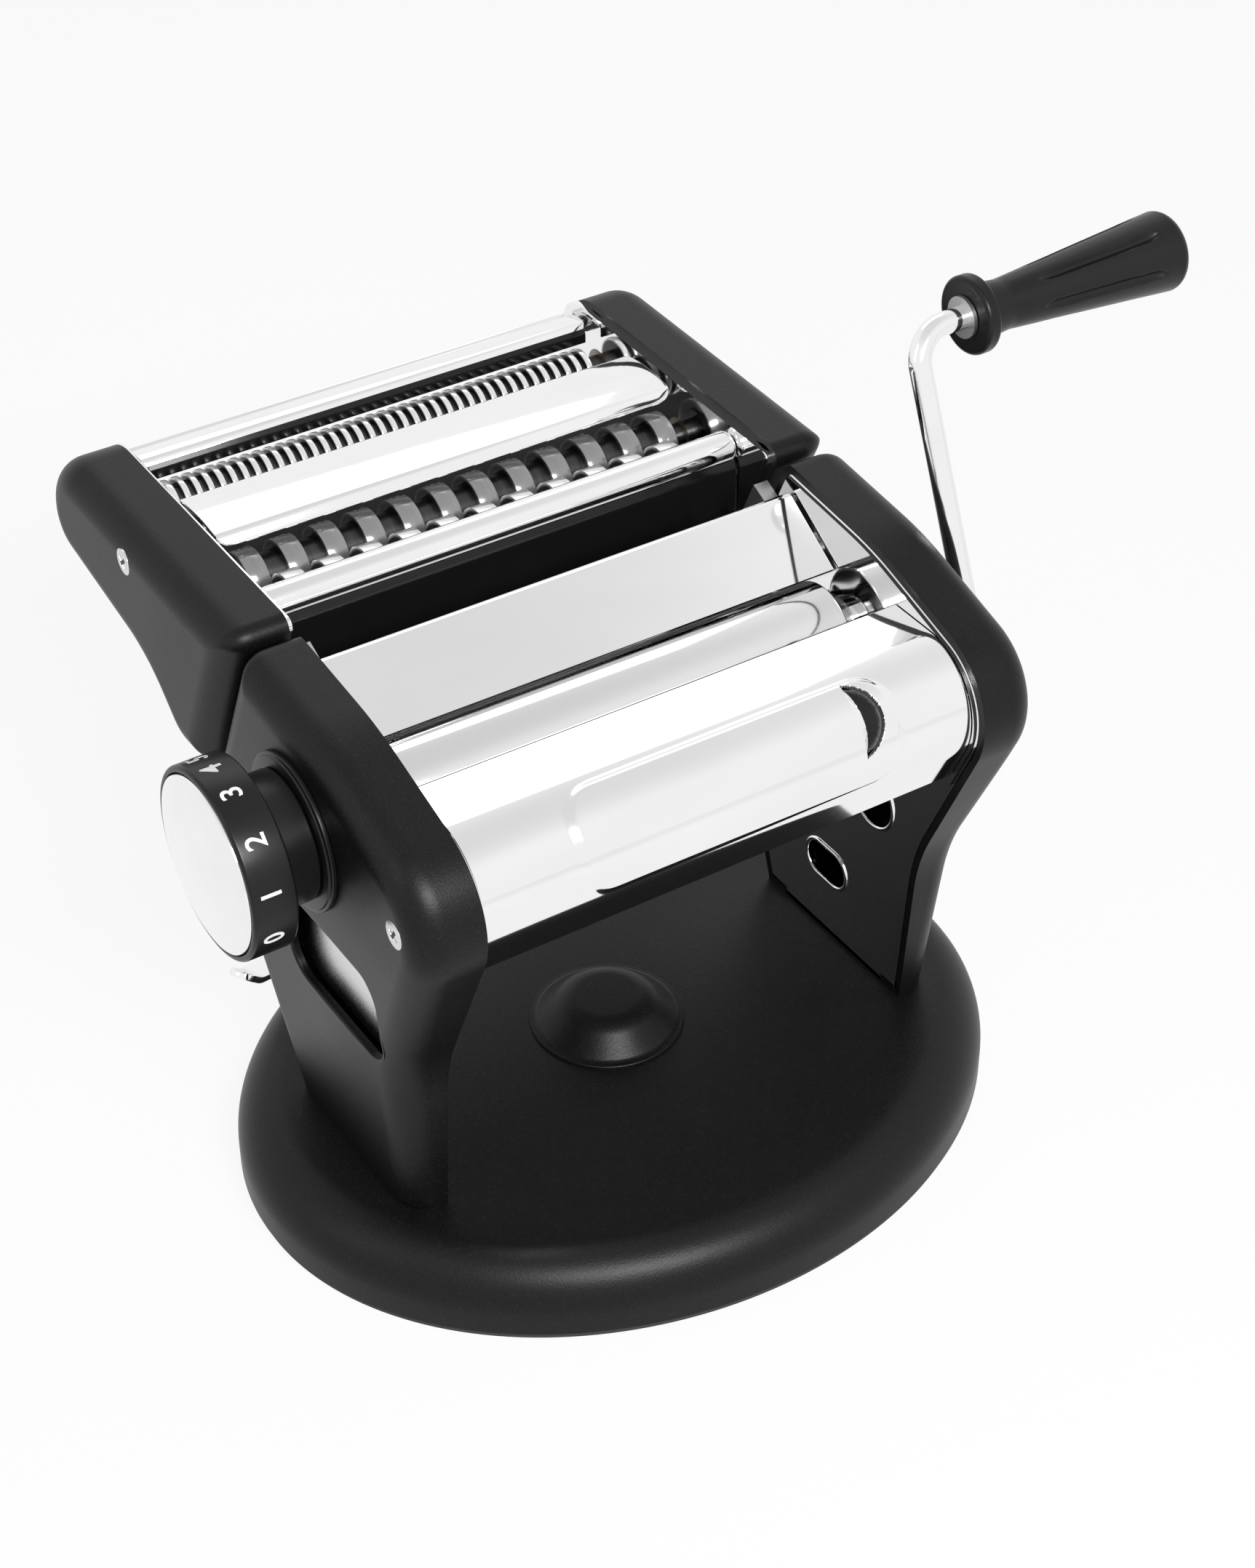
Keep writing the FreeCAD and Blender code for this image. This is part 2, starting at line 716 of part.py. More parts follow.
def frame_shape():
    inner = size("inner_half")
    thickness = size("frame_thickness")
    clear = size("assembly_clearance")
    wire = rounded_wire(main_corners(), inner).makeOffset2D(-size("cover_wall") - clear)
    plate = prism(wire, thickness)
    foot = leg_foot(0).cut(Part.makeBox(400, 400, size("base_top"), Vector(-200, -200, 0)))
    foot = foot.common(Part.makeBox(400, 400, size("base_top") + size("frame_foot_thickness"),
                                    Vector(-200, -200, 0)))
    neck_y = foot.BoundBox.YMin
    neck = Part.makeBox(thickness, foot.BoundBox.YLength, 3 * size("cover_wall"),
                        Vector(inner, neck_y, size("base_top")))
    plate = plate.fuse([foot, neck])
    travel = size("opening_travel")
    start = inner - 1
    depth = thickness + 2
    tools = [
        bore(size("bush_radius"), start, depth, FRONT_ROLLER_Y, size("roller_z")),
        slot_bore(size("bush_radius") + size("running_clearance"), start, depth, size("rear_roller_y"),
                  size("roller_z"), travel),
        slot_bore(size("bar_radius") + clear, start, depth, size("bar_y"), size("bar_z"), travel),
        bore(size("round_hole_radius"), start, depth, size("round_hole_y"), size("round_hole_z")),
        slot_bore(size("slot_hole_radius"), start, depth, size("slot_hole_y") - size("slot_hole_length") / 2,
                  size("slot_hole_z"), size("slot_hole_length")),
    ]
    for where in ("leg_screw_front", "leg_screw_rear"):
        tools.append(Part.makeCylinder(size("screw_radius"), 10,
                                       Vector(inner + size("frame_foot") / 2 + 1, size(where), size("base_top") - 1)))
    for tool in tools:
        plate = plate.cut(tool)
    return plate.removeSplitter()


def end_plate_shape():
    inner = size("inner_half") - size("end_plate_thickness")
    clear = size("assembly_clearance")
    wire = rounded_wire(main_corners(), inner).makeOffset2D(-size("end_plate_margin"))
    plate = prism(wire, size("end_plate_thickness"))
    plate = plate.cut(Part.makeBox(400, 400, size("end_plate_bottom"), Vector(-200, -200, 0)))
    start = inner - 1
    depth = size("end_plate_thickness") + 2
    travel = size("opening_travel")
    plate = plate.cut(bore(size("bush_radius") + clear, start, depth, FRONT_ROLLER_Y, size("roller_z")))
    plate = plate.cut(slot_bore(size("bush_radius") + clear, start, depth, size("rear_roller_y"),
                                size("roller_z"), travel))
    plate = plate.cut(slot_bore(size("bar_radius") + clear, start, depth, size("bar_y"), size("bar_z"), travel))
    return plate.cut(bore(size("tie_radius"), start, depth, size("tie_front_y"), size("tie_front_z")))


def build_sides():
    cover = cover_shape(main_corners(), True)
    cover = cover.cut(leg_foot(size("assembly_clearance")))
    cover = cover.cut(screw_seat(size("cover_screw_y"), size("cover_screw_z")))
    depth = size("cover_wall") + 6
    start = COVER_OUT - depth + 1
    window = prism(rounded_box_wire(size("window_front"), size("window_rear"), size("window_bottom"),
                                    size("window_top"), size("window_round"), start), depth)
    collar_hole = bore(size("collar_bore"), start, depth, size("rear_roller_y"), size("roller_z"))
    crank_hole = bore(size("drive_shaft_radius") + size("drive_bush_wall"), start, depth, size("crank_y"), CRANK_Z)
    shapes = {"right": cover.cut(crank_hole), "left": cover.cut(window).cut(collar_hole)}
    screws = []
    for name, side in SIDES.items():
        keep(solid(name + "_cover", mirrored(shapes[name], side)), name + "_side_cover")
        keep(solid(name + "_frame", mirrored(frame_shape(), side)), name + "_side_frame")
        keep(solid(name + "_lining", mirrored(end_plate_shape(), side)), name + "_end_plate")
        screws.append(mirrored(screw_shape(size("cover_screw_y"), size("cover_screw_z")), side))
    return screws


def build_screws(screws):
    """The cover screws, and the screws that hold the frames' feet from under the base."""
    for side in (1, -1):
        for where in ("leg_screw_front", "leg_screw_rear"):
            foot = Vector(side * (size("inner_half") + size("frame_foot") / 2 + 1), size(where),
                          size("base_top") - size("base_wall"))
            shank = Part.makeCylinder(size("screw_radius"), size("screw_length"), foot)
            head = Part.makeCylinder(size("screw_head_radius"), size("screw_head_height"),
                                     foot - Vector(0, 0, size("screw_head_height")))
            screws.append(shank.fuse(head))
    keep(solid("screw_set", Part.makeCompound(screws)), "frame_screws")


# Sheet metal and rods between the frames

def build_sheets():
    half = "Sizes.sheet_half_length"
    centre = Vector(0, size("shell_centre_y"), size("shell_centre_z"))
    turn = math.radians(180 + size("shell_tail_turn"))

    def shell_edge(radius):
        """Top edge, round nose and straight tail at one radius from the nose's centre."""
        def at(angle):
            return centre + Vector(0, radius * math.cos(angle), radius * math.sin(angle))
        crown = at(math.pi / 2)
        stop = at(turn)
        tail = stop + Vector(0, -math.sin(turn), math.cos(turn)) * size("shell_tail_length")
        lip = Vector(0, size("shell_top_edge"), crown.z)
        return lip, crown, at((math.pi / 2 + turn) / 2), stop, tail

    outer = shell_edge(size("shell_round"))
    inner = shell_edge(size("shell_round") - size("sheet_thickness"))
    edges = [
        Part.makeLine(outer[0], outer[1]), Part.Arc(outer[1], outer[2], outer[3]).toShape(),
        Part.makeLine(outer[3], outer[4]), Part.makeLine(outer[4], inner[4]),
        Part.makeLine(inner[4], inner[3]), Part.Arc(inner[3], inner[2], inner[1]).toShape(),
        Part.makeLine(inner[1], inner[0]), Part.makeLine(inner[0], outer[0]),
    ]
    shell = prism(Part.Wire(edges), 2 * size("sheet_half_length"))
    shell.translate(Vector(-size("sheet_half_length"), 0, 0))
    keep(solid("front_sheet", shell), "front_shell")

    run = "sqrt((Sizes.hopper_top_y - Sizes.hopper_bottom_y)^2 + (Sizes.hopper_top_z - Sizes.hopper_bottom_z)^2)"
    down_y = "Sizes.sheet_thickness * (Sizes.hopper_top_z - Sizes.hopper_bottom_z) / %s" % run
    down_z = "Sizes.sheet_thickness * (Sizes.hopper_top_y - Sizes.hopper_bottom_y) / %s" % run
    hopper = slab("hopper", [
        ("Sizes.hopper_bottom_y", "Sizes.hopper_bottom_z"),
        ("Sizes.hopper_top_y", "Sizes.hopper_top_z"),
        ("Sizes.hopper_top_y + Sizes.hopper_lip / 2", "Sizes.hopper_top_z - Sizes.hopper_lip"),
        ("Sizes.hopper_top_y + Sizes.hopper_lip / 2 - Sizes.sheet_thickness", "Sizes.hopper_top_z - Sizes.hopper_lip"),
        ("Sizes.hopper_top_y + %s / 2" % down_y, "Sizes.hopper_top_z - 1.3 * %s" % down_z),
        ("Sizes.hopper_bottom_y + %s" % down_y, "Sizes.hopper_bottom_z - %s" % down_z),
    ], "-" + half, "2 * " + half)
    keep(hopper, "hopper_plate")

    slope = "(Sizes.knee_y - Sizes.crest_y) / (Sizes.crest_z - Sizes.knee_z)"
    top_y = "Sizes.crest_y + (Sizes.crest_z - Sizes.rear_shell_top) * %s - Sizes.rear_shell_inset" % slope
    low_y = "Sizes.crest_y + (Sizes.crest_z - Sizes.rear_shell_bottom) * %s - Sizes.rear_shell_inset" % slope
    rear = slab("rear_sheet", [
        (top_y, "Sizes.rear_shell_top"),
        (top_y + " - Sizes.sheet_thickness", "Sizes.rear_shell_top"),
        (low_y + " - Sizes.sheet_thickness", "Sizes.rear_shell_bottom"),
        (low_y, "Sizes.rear_shell_bottom"),
    ], "-" + half, "2 * " + half)
    keep(rear, "rear_shell")

    ties = [rod("tie_%s" % where, "Sizes.tie_radius", "-Sizes.inner_half", "2 * Sizes.inner_half",
                "Sizes.tie_%s_y" % where, "Sizes.tie_%s_z" % where) for where in ("front", "rear", "low")]
    keep(group("ties", ties), "tie_rods")

    blades = []
    for axis_y, lean, room in ((FRONT_ROLLER_Y, -size("scraper_lean") / 2, 0.0),
                               (size("rear_roller_y"), size("scraper_lean") / 2, size("opening_travel"))):
        blade = Part.makeBox(2 * size("sheet_half_length"), size("scraper_width"), size("scraper_thickness"),
                             Vector(-size("sheet_half_length"),
                                    size("roller_radius") + size("assembly_clearance") + room,
                                    -size("scraper_thickness") / 2))
        blade.rotate(Vector(), Vector(1, 0, 0), 270 + lean)
        blade.translate(Vector(0, axis_y, size("roller_z")))
        blades.append(blade)
    keep(solid("blade_pair", Part.makeCompound(blades)), "roller_scrapers")


# Gears

def gear_wire(teeth, module, turn):
    """Involute teeth: each flank runs from the root through the pitch circle to the tip."""
    pressure = math.radians(20)
    pitch = module * teeth / 2
    root = pitch - 1.25 * module
    tip = pitch + 0.9 * module
    base = pitch * math.cos(pressure)

    def involute(radius):
        if radius <= base:
            return 0.0
        angle = math.acos(base / radius)
        return math.tan(angle) - angle

    half = math.pi / (2 * teeth) - size("gear_backlash") / (2 * pitch)
    flank = [(radius, half + involute(pitch) - involute(radius)) for radius in (root, pitch, tip)]
    points = []
    for index in range(int(teeth)):
        middle = math.radians(turn) + index * 2 * math.pi / teeth
        spread = [(radius, -angle) for radius, angle in flank] + [(radius, angle) for radius, angle in flank[::-1]]
        for radius, angle in spread:
            points.append(Vector(0, radius * math.cos(middle + angle), radius * math.sin(middle + angle)))
    return Part.makePolygon(points + points[:1])


def gear_shape(teeth, module, turn, bore_radius, start, width, y, z):
    gear = prism(gear_wire(teeth, module, turn), width).cut(bore(bore_radius, -1, width + 2, 0, 0))
    gear.translate(Vector(start, y, z))
    return gear


# Rollers, their bearings and the crank drive

def build_rollers():
    z = "Sizes.roller_z"
    left = -BLOCK_OUT
    for name, y, right in (("front_roller", FRONT_ROLLER_Y, DRIVE_GEAR_END),
                           ("rear_roller", size("rear_roller_y"), ROLLER_GEAR_X + size("roller_gear_width"))):
        keep(turned(name + "_bar", [
            (str(left), "0"), (str(left), "Sizes.journal_radius"),
            ("-Sizes.roller_half_length", "Sizes.journal_radius"), ("-Sizes.roller_half_length", "Sizes.roller_radius"),
            ("Sizes.roller_half_length", "Sizes.roller_radius"), ("Sizes.roller_half_length", "Sizes.journal_radius"),
            (str(right), "Sizes.journal_radius"), (str(right), "0"),
        ], str(y), z), name)

    module = ROLLER_CENTRES / size("roller_gear_teeth")
    for name, y, turn in (("front_roller_gear", FRONT_ROLLER_Y, 0.0),
                          ("rear_roller_gear", size("rear_roller_y"), 180 + 180 / size("roller_gear_teeth"))):
        gear = gear_shape(size("roller_gear_teeth"), module, turn, size("journal_radius"), ROLLER_GEAR_X,
                          size("roller_gear_width"), y, size("roller_z"))
        keep(solid(name + "_wheel", gear), name)

    bushes = []
    clear = size("assembly_clearance")
    sleeve_start = size("inner_half") - size("end_plate_thickness") + clear
    for side in (1, -1):
        sleeve = bore(size("bush_radius"), sleeve_start, FRAME_OUT - sleeve_start, FRONT_ROLLER_Y, size("roller_z"))
        flange = bore(size("bush_radius") + size("bush_flange"), FRAME_OUT, size("bush_flange_thickness"),
                      FRONT_ROLLER_Y, size("roller_z"))
        hole = bore(size("journal_radius") + size("running_clearance"), 0, 200, FRONT_ROLLER_Y, size("roller_z"))
        bushes.append(mirrored(sleeve.fuse(flange).cut(hole).removeSplitter(), side))
    keep(solid("front_bush_set", Part.makeCompound(bushes)), "front_bushes")

    for name, side in SIDES.items():
        plate = Part.makeBox(size("block_thickness"), size("block_rear") - size("block_front"),
                             2 * size("block_half_height"),
                             Vector(BLOCK_IN, size("rear_roller_y") + size("block_front"),
                                    size("roller_z") - size("block_half_height")))
        sleeve = bore(size("bush_radius"), sleeve_start, BLOCK_IN - sleeve_start, size("rear_roller_y"),
                      size("roller_z"))
        piece = plate.fuse(sleeve)
        if side < 0:
            lug_y = size("rear_roller_y") + size("cam_radius") + clear / 2
            piece = piece.fuse(Part.makeBox(size("gear_space") + size("cam_width"), size("follower_thickness"),
                                            2 * size("follower_half_height"),
                                            Vector(BLOCK_OUT, lug_y,
                                                   size("roller_z") - size("follower_half_height"))))
        piece = piece.cut(bore(size("journal_radius") + size("running_clearance"), 0, 200, size("rear_roller_y"),
                               size("roller_z")))
        piece = piece.cut(bore(size("bar_radius"), 0, 200, size("bar_y"), size("bar_z")))
        keep(solid(name + "_block", mirrored(piece.removeSplitter(), side)), name + "_bearing_block")
    keep(rod("cross_bar", "Sizes.bar_radius", str(-BLOCK_OUT), str(2 * BLOCK_OUT), "Sizes.bar_y", "Sizes.bar_z"),
         "carriage_bar")


def build_drive():
    toward = math.degrees(math.atan2(CRANK_Z - size("roller_z"), size("crank_y") - FRONT_ROLLER_Y))
    wheel = gear_shape(size("drive_gear_teeth"), size("drive_module"), toward, size("journal_radius"), DRIVE_GEAR_X,
                       size("drive_gear_width"), FRONT_ROLLER_Y, size("roller_z"))
    keep(solid("drive_wheel", wheel), "drive_gear")
    pinion = gear_shape(size("pinion_teeth"), size("drive_module"), toward + 180 + 180 / size("pinion_teeth"),
                        size("drive_shaft_radius"), DRIVE_GEAR_X, size("drive_gear_width"), size("crank_y"), CRANK_Z)
    keep(solid("pinion_wheel", pinion), "crank_pinion")

    seat = COVER_OUT - size("rod_seat")
    socket = "Sizes.rod_radius + Sizes.running_clearance"
    inner = str(DRIVE_GEAR_X)
    keep(turned("socket_shaft", [
        (inner, "0"), (inner, "Sizes.drive_shaft_radius"), (str(COVER_OUT), "Sizes.drive_shaft_radius"),
        (str(COVER_OUT), socket), (str(seat), socket), (str(seat), "0"),
    ], "Sizes.crank_y", str(CRANK_Z)), "drive_shaft")

    start = DRIVE_GEAR_END + size("gear_space")
    ring = bore(size("drive_shaft_radius") + size("drive_bush_wall"), start,
                COVER_OUT - size("assembly_clearance") - start, size("crank_y"), CRANK_Z)
    ring = ring.cut(bore(size("drive_shaft_radius") + size("running_clearance"), 0, 200, size("crank_y"), CRANK_Z))
    keep(solid("drive_bush_ring", ring), "drive_bush")


def bent_path(points, radius):
    """Straight runs joined by tangent arcs of one radius."""
    edges = []
    start = points[0]
    for index in range(1, len(points) - 1):
        here = points[index]
        back = (points[index - 1] - here).normalize()
        ahead = (points[index + 1] - here).normalize()
        half = back.getAngle(ahead) / 2
        reach = radius / math.tan(half)
        crown = here + (back + ahead).normalize() * (radius / math.sin(half) - radius)
        edges.append(Part.makeLine(start, here + back * reach))
        edges.append(Part.Arc(here + back * reach, crown, here + ahead * reach).toShape())
        start = here + ahead * reach
    edges.append(Part.makeLine(start, points[-1]))
    return Part.Wire(edges)


def build_crank():
    plane = size("crank_plane")
    rod_stop = size("flute_end")
    path = bent_path([
        Vector(COVER_OUT - size("rod_seat") + size("assembly_clearance"), size("crank_y"), CRANK_Z),
        Vector(plane, size("crank_y"), CRANK_Z),
        Vector(plane, CRANK_TIP_Y, CRANK_TIP_Z),
        Vector(rod_stop, CRANK_TIP_Y, CRANK_TIP_Z),
    ], size("rod_bend"))
    start = path.OrderedVertexes[0].Point
    section = Part.Wire(Part.makeCircle(size("rod_radius"), start, Vector(1, 0, 0)))
    keep(solid("crank_bar", path.makePipeShell([section], True, False)), "crank_rod")

    washer = cut("washer", rod("washer_disc", "Sizes.washer_radius",
                               "Sizes.grip_start - Sizes.assembly_clearance - Sizes.washer_thickness",
                               "Sizes.washer_thickness", str(CRANK_TIP_Y), str(CRANK_TIP_Z)),
                 [rod("washer_hole", "Sizes.rod_radius", "Sizes.grip_start - 10", "20", str(CRANK_TIP_Y),
                      str(CRANK_TIP_Z))])
    keep(washer, "grip_washer")

    hole = "Sizes.rod_radius + Sizes.running_clearance"
    stop = "Sizes.flute_end + Sizes.assembly_clearance"
    neck = "Sizes.grip_start + Sizes.grip_flange_width"
    grip = turned("grip_block", [
        ("Sizes.grip_start", hole), ("Sizes.grip_start", "Sizes.grip_flange_radius"),
        (neck, "Sizes.grip_flange_radius"), (neck, "Sizes.grip_neck_radius"),
        (neck + " + Sizes.grip_neck_length", "Sizes.grip_neck_radius"),
        ("Sizes.grip_end - Sizes.grip_end_round", "Sizes.grip_end_radius"),
        ("Sizes.grip_end", "Sizes.grip_end_radius - Sizes.grip_end_round"),
        ("Sizes.grip_end", "0"), (stop, "0"), (stop, hole),
    ])
    flutes = []
    taper_start = size("grip_start") + size("grip_flange_width") + size("grip_neck_length")
    taper_stop = size("grip_end") - size("grip_end_round")
    slope = (size("grip_end_radius") - size("grip_neck_radius")) / (taper_stop - taper_start)

    def flute_height(x):
        surface = size("grip_neck_radius") + slope * (x - taper_start)
        return surface + size("flute_radius") - size("flute_depth")

    first = Vector(size("flute_start"), 0, flute_height(size("flute_start")))
    last = Vector(size("flute_end"), 0, flute_height(size("flute_end")))
    for index in range(int(size("flute_count"))):
        flute = Part.makeCylinder(size("flute_radius"), (last - first).Length, first, last - first)
        flute.rotate(Vector(), Vector(1, 0, 0), index * 360 / size("flute_count"))
        flutes.append(flute)
    handle = cut("grip", grip, [solid("flute_set", Part.makeCompound(flutes))])
    bind(handle, Placement__Base__y=str(CRANK_TIP_Y), Placement__Base__z=str(CRANK_TIP_Z))
    keep(handle, "crank_grip")


# Dial that sets the roller gap

def build_dial():
    axis_y = size("rear_roller_y")
    axis_z = size("roller_z")
    cam_x = BLOCK_OUT + size("gear_space")
    steps = 36
    sweep = size("dial_sweep")

    def cam_radius_at(angle):
        """Rises evenly over the dial's sweep, then drops back to the start."""
        if angle <= sweep:
            return size("cam_radius") + size("opening_travel") * angle / sweep
        drop = (360 - sweep) / 2
        return size("cam_radius") + size("opening_travel") * max(0.0, 1 - (angle - sweep) / drop)

    points = []
    for index in range(steps):
        angle = index * 360 / steps
        radius = cam_radius_at(angle)
        points.append(Vector(-cam_x - size("cam_width"), axis_y + radius * math.cos(math.radians(angle)),
                             axis_z + radius * math.sin(math.radians(angle))))
    cam = prism(Part.makePolygon(points + points[:1]), size("cam_width"))
    collar_out = COVER_OUT + size("collar_height")
    knob_in = collar_out + size("assembly_clearance")
    band_in = knob_in + size("knob_neck_length")
    band_out = band_in + size("knob_band_width")
    pocket = knob_in + size("knob_wall") + 3
    face = band_out - 2
    shaft_stop = face - size("pull_travel") - 1
    shaft = bore(size("cam_shaft_radius"), -shaft_stop, shaft_stop - cam_x, axis_y, axis_z)
    head = bore(size("spring_radius"), -shaft_stop - 1, 1, axis_y, axis_z)
    keep(solid("cam_and_shaft", cam.fuse([shaft, head]).removeSplitter()), "cam_shaft")
    coil = bore(size("spring_radius"), -shaft_stop, shaft_stop - pocket - 0.3, axis_y, axis_z)
    coil = coil.cut(bore(size("cam_shaft_radius") + 0.5, -200, 200, axis_y, axis_z))
    keep(solid("spring", coil), "dial_spring")

    shaft_hole = "Sizes.cam_shaft_radius + Sizes.running_clearance"
    keep(turned("collar", [
        (str(-COVER_OUT + size("cover_wall")), shaft_hole), (str(-COVER_OUT + size("cover_wall")), "Sizes.collar_bore"),
        (str(-COVER_OUT), "Sizes.collar_bore"), (str(-COVER_OUT), "Sizes.collar_radius"),
        (str(-collar_out), "Sizes.collar_radius"), (str(-collar_out), shaft_hole),
    ], str(axis_y), str(axis_z)), "dial_collar")
    spring_room = "Sizes.knob_hub_radius"
    keep(turned("knob", [
        (str(-knob_in), shaft_hole), (str(-knob_in), "Sizes.knob_neck_radius"),
        (str(-band_in), "Sizes.knob_neck_radius"), (str(-band_in), "Sizes.knob_band_radius"),
        (str(-band_out), "Sizes.knob_band_radius"), (str(-band_out), "Sizes.cap_face_radius"),
        (str(-face), "Sizes.cap_face_radius"), (str(-face), spring_room),
        (str(-pocket), spring_room), (str(-pocket), shaft_hole),
    ], str(axis_y), str(axis_z)), "dial_knob")

    dome = size("cap_dome")
    rim = size("cap_face_radius")
    ball = (rim ** 2 + dome ** 2) / (2 * dome)
    disc = bore(rim, -band_out - dome - 1, band_out + dome + 1 - face, axis_y, axis_z)
    sphere = Part.makeSphere(ball, Vector(-band_out - dome + ball, axis_y, axis_z))
    keep(solid("cap_face", disc.common(sphere)), "dial_cap")


# Cutter attachment

def cutter_mesh(prefix):
    return 2 * size(prefix + "_radius") - size(prefix + "_groove") + size("cutter_mesh_clearance")


def journal_and_socket(prefix, y, has_socket):
    """The shaft through a cutter roller; the driven one ends in a socket for the crank."""
    z = size(prefix + "_axis_z")
    left = -size("inner_half") - size("frame_thickness")
    gear_end = FRAME_OUT + size("gear_space") + size("cutter_gear_width")
    shaft = bore(size("cutter_journal_radius"), left, gear_end - left, y, z)
    if not has_socket:
        return shaft
    socket_stop = COVER_OUT - 1
    socket = bore(size("socket_radius"), gear_end, socket_stop - gear_end, y, z)
    hole = bore(size("rod_radius") + 0.1, socket_stop - size("rod_seat"), size("rod_seat") + 1, y, z)
    return shaft.fuse(socket).cut(hole)


def wide_roller_shape(y, phase, has_socket):
    """Broad rings with grooves of the same width; the two rollers are half a pitch apart."""
    half = size("roller_half_length")
    low = size("wide_radius") - size("wide_groove")
    core = bore(low, -half, 2 * half, y, size("wide_axis_z"))
    ring = size("wide_pitch") / 2 - 2 * size("cutter_side_clearance")
    count = int(half / size("wide_pitch")) + 1
    for index in range(-count, count + 1):
        middle = (index + phase) * size("wide_pitch")
        if abs(middle) + ring / 2 <= half:
            core = core.fuse(bore(size("wide_radius"), middle - ring / 2, ring, y, size("wide_axis_z")))
    return core.fuse(journal_and_socket("wide", y, has_socket)).removeSplitter()


def fine_roller_shape(y, phase, has_socket):
    """Narrow ridges, as a ruled skin through rings of flats."""
    half = size("roller_half_length")
    low = size("fine_radius") - size("fine_groove")
    sides = int(size("fine_sides"))
    pitch = size("fine_pitch")
    count = int((half - pitch) / pitch)
    sections = [(-half, low)]
    for index in range(-count, count):
        middle = (index + phase) * pitch
        sections.append((middle - pitch / 2, low))
        sections.append((middle, size("fine_radius")))
    sections.append(((count - 0.5 + phase) * pitch, low))
    sections.append((half, low))
    wires = []
    for x, radius in sections:
        ring = [Vector(x, y + radius * math.cos(2 * math.pi * step / sides),
                       size("fine_axis_z") + radius * math.sin(2 * math.pi * step / sides)) for step in range(sides)]
        wires.append(Part.makePolygon(ring + ring[:1]))
    body = Part.makeLoft(wires, True, True)
    return body.fuse(journal_and_socket("fine", y, has_socket))


def build_cutter_rollers():
    gear_start = FRAME_OUT + size("gear_space")
    for prefix, shape in (("wide", wide_roller_shape), ("fine", fine_roller_shape)):
        front = size(prefix + "_front_y")
        centres = cutter_mesh(prefix)
        teeth = size(prefix + "_gear_teeth")
        for where, y, phase, turn in (("front", front, 0.0, 0.0),
                                      ("rear", front + centres, 0.5, 180 + 180 / teeth)):
            keep(solid("%s_%s" % (prefix, where), shape(y, phase, where == "front")),
                 "%s_cutter_%s" % (prefix, where))
            gear = gear_shape(teeth, centres / teeth, turn, size("cutter_journal_radius"), gear_start,
                              size("cutter_gear_width"), y, size(prefix + "_axis_z"))
            keep(solid("%s_%s_wheel" % (prefix, where), gear), "%s_gear_%s" % (prefix, where))


def cutter_axes():
    for prefix in ("wide", "fine"):
        front = size(prefix + "_front_y")
        yield front, size(prefix + "_axis_z")
        yield front + cutter_mesh(prefix), size(prefix + "_axis_z")


def on_gap_line(piece):
    """Moves a piece drawn at the origin to the slanted edge between the machine and the attachment."""
    piece.rotate(Vector(), Vector(1, 0, 0), math.degrees(GAP_LEAN))
    piece.translate(Vector(0, size("crest_y"), size("crest_z")))
    return piece


def build_rails():
    """Rails behind the machine's end plates, which the hooks of the attachment slide along."""
    clear = size("assembly_clearance")
    outer = size("inner_half") - size("end_plate_thickness") - clear
    rail = on_gap_line(Part.makeBox(size("rail_width"), size("rail_inset") + size("cutter_gap") - clear,
                                    size("rail_length"),
                                    Vector(outer - size("rail_width"), -size("rail_inset"),
                                           -size("rail_start") - size("rail_length"))))
    keep(solid("rail_pair", Part.makeCompound([mirrored(rail, side) for side in SIDES.values()])), "cutter_rails")


def hook_shape():
    plate = size("inner_half") - size("cutter_plate_thickness")
    return on_gap_line(Part.makeBox(size("rail_width"), size("rail_inset") + size("cover_wall"), size("hook_length"),
                                    Vector(plate - size("rail_width"), size("cutter_gap"),
                                           -size("rail_start") - size("rail_length"))))


def build_cutter_sides():
    cover = cover_shape(cutter_corners(), False)
    cover = cover.cut(screw_seat(size("cutter_screw_y"), size("cutter_screw_z")))
    socketed = cover
    for prefix in ("wide", "fine"):
        socketed = socketed.cut(bore(size("socket_radius") + size("assembly_clearance"), COVER_OUT - 10, 20,
                                     size(prefix + "_front_y"), size(prefix + "_axis_z")))
    inner = size("inner_half")
    thickness = size("cutter_plate_thickness")
    wire = rounded_wire(cutter_corners(), inner - thickness).makeOffset2D(-size("cover_wall"))
    plate = prism(wire, thickness).fuse(hook_shape()).removeSplitter()
    bushes = []
    bush_radius = size("cutter_journal_radius") + size("cutter_bush_wall")
    for y, z in cutter_axes():
        plate = plate.cut(bore(bush_radius, 0, 200, y, z))
        ring = bore(bush_radius, inner - thickness, FRAME_OUT - inner + thickness, y, z)
        ring = ring.cut(bore(size("cutter_journal_radius") + size("running_clearance"), 0, 200, y, z))
        bushes += [ring, mirrored(ring, -1)]
    screws = []
    for name, side in SIDES.items():
        shape = socketed if side > 0 else cover
        keep(solid("cutter_%s_shell" % name, mirrored(shape, side)), "cutter_%s_cover" % name)
        keep(solid("cutter_%s_lining" % name, mirrored(plate, side)), "cutter_%s_plate" % name)
        screws.append(mirrored(screw_shape(size("cutter_screw_y"), size("cutter_screw_z")), side))
    keep(solid("cutter_screw_set", Part.makeCompound(screws)), "cutter_screws")
    keep(solid("cutter_bush_set", Part.makeCompound(bushes)), "cutter_bushes")


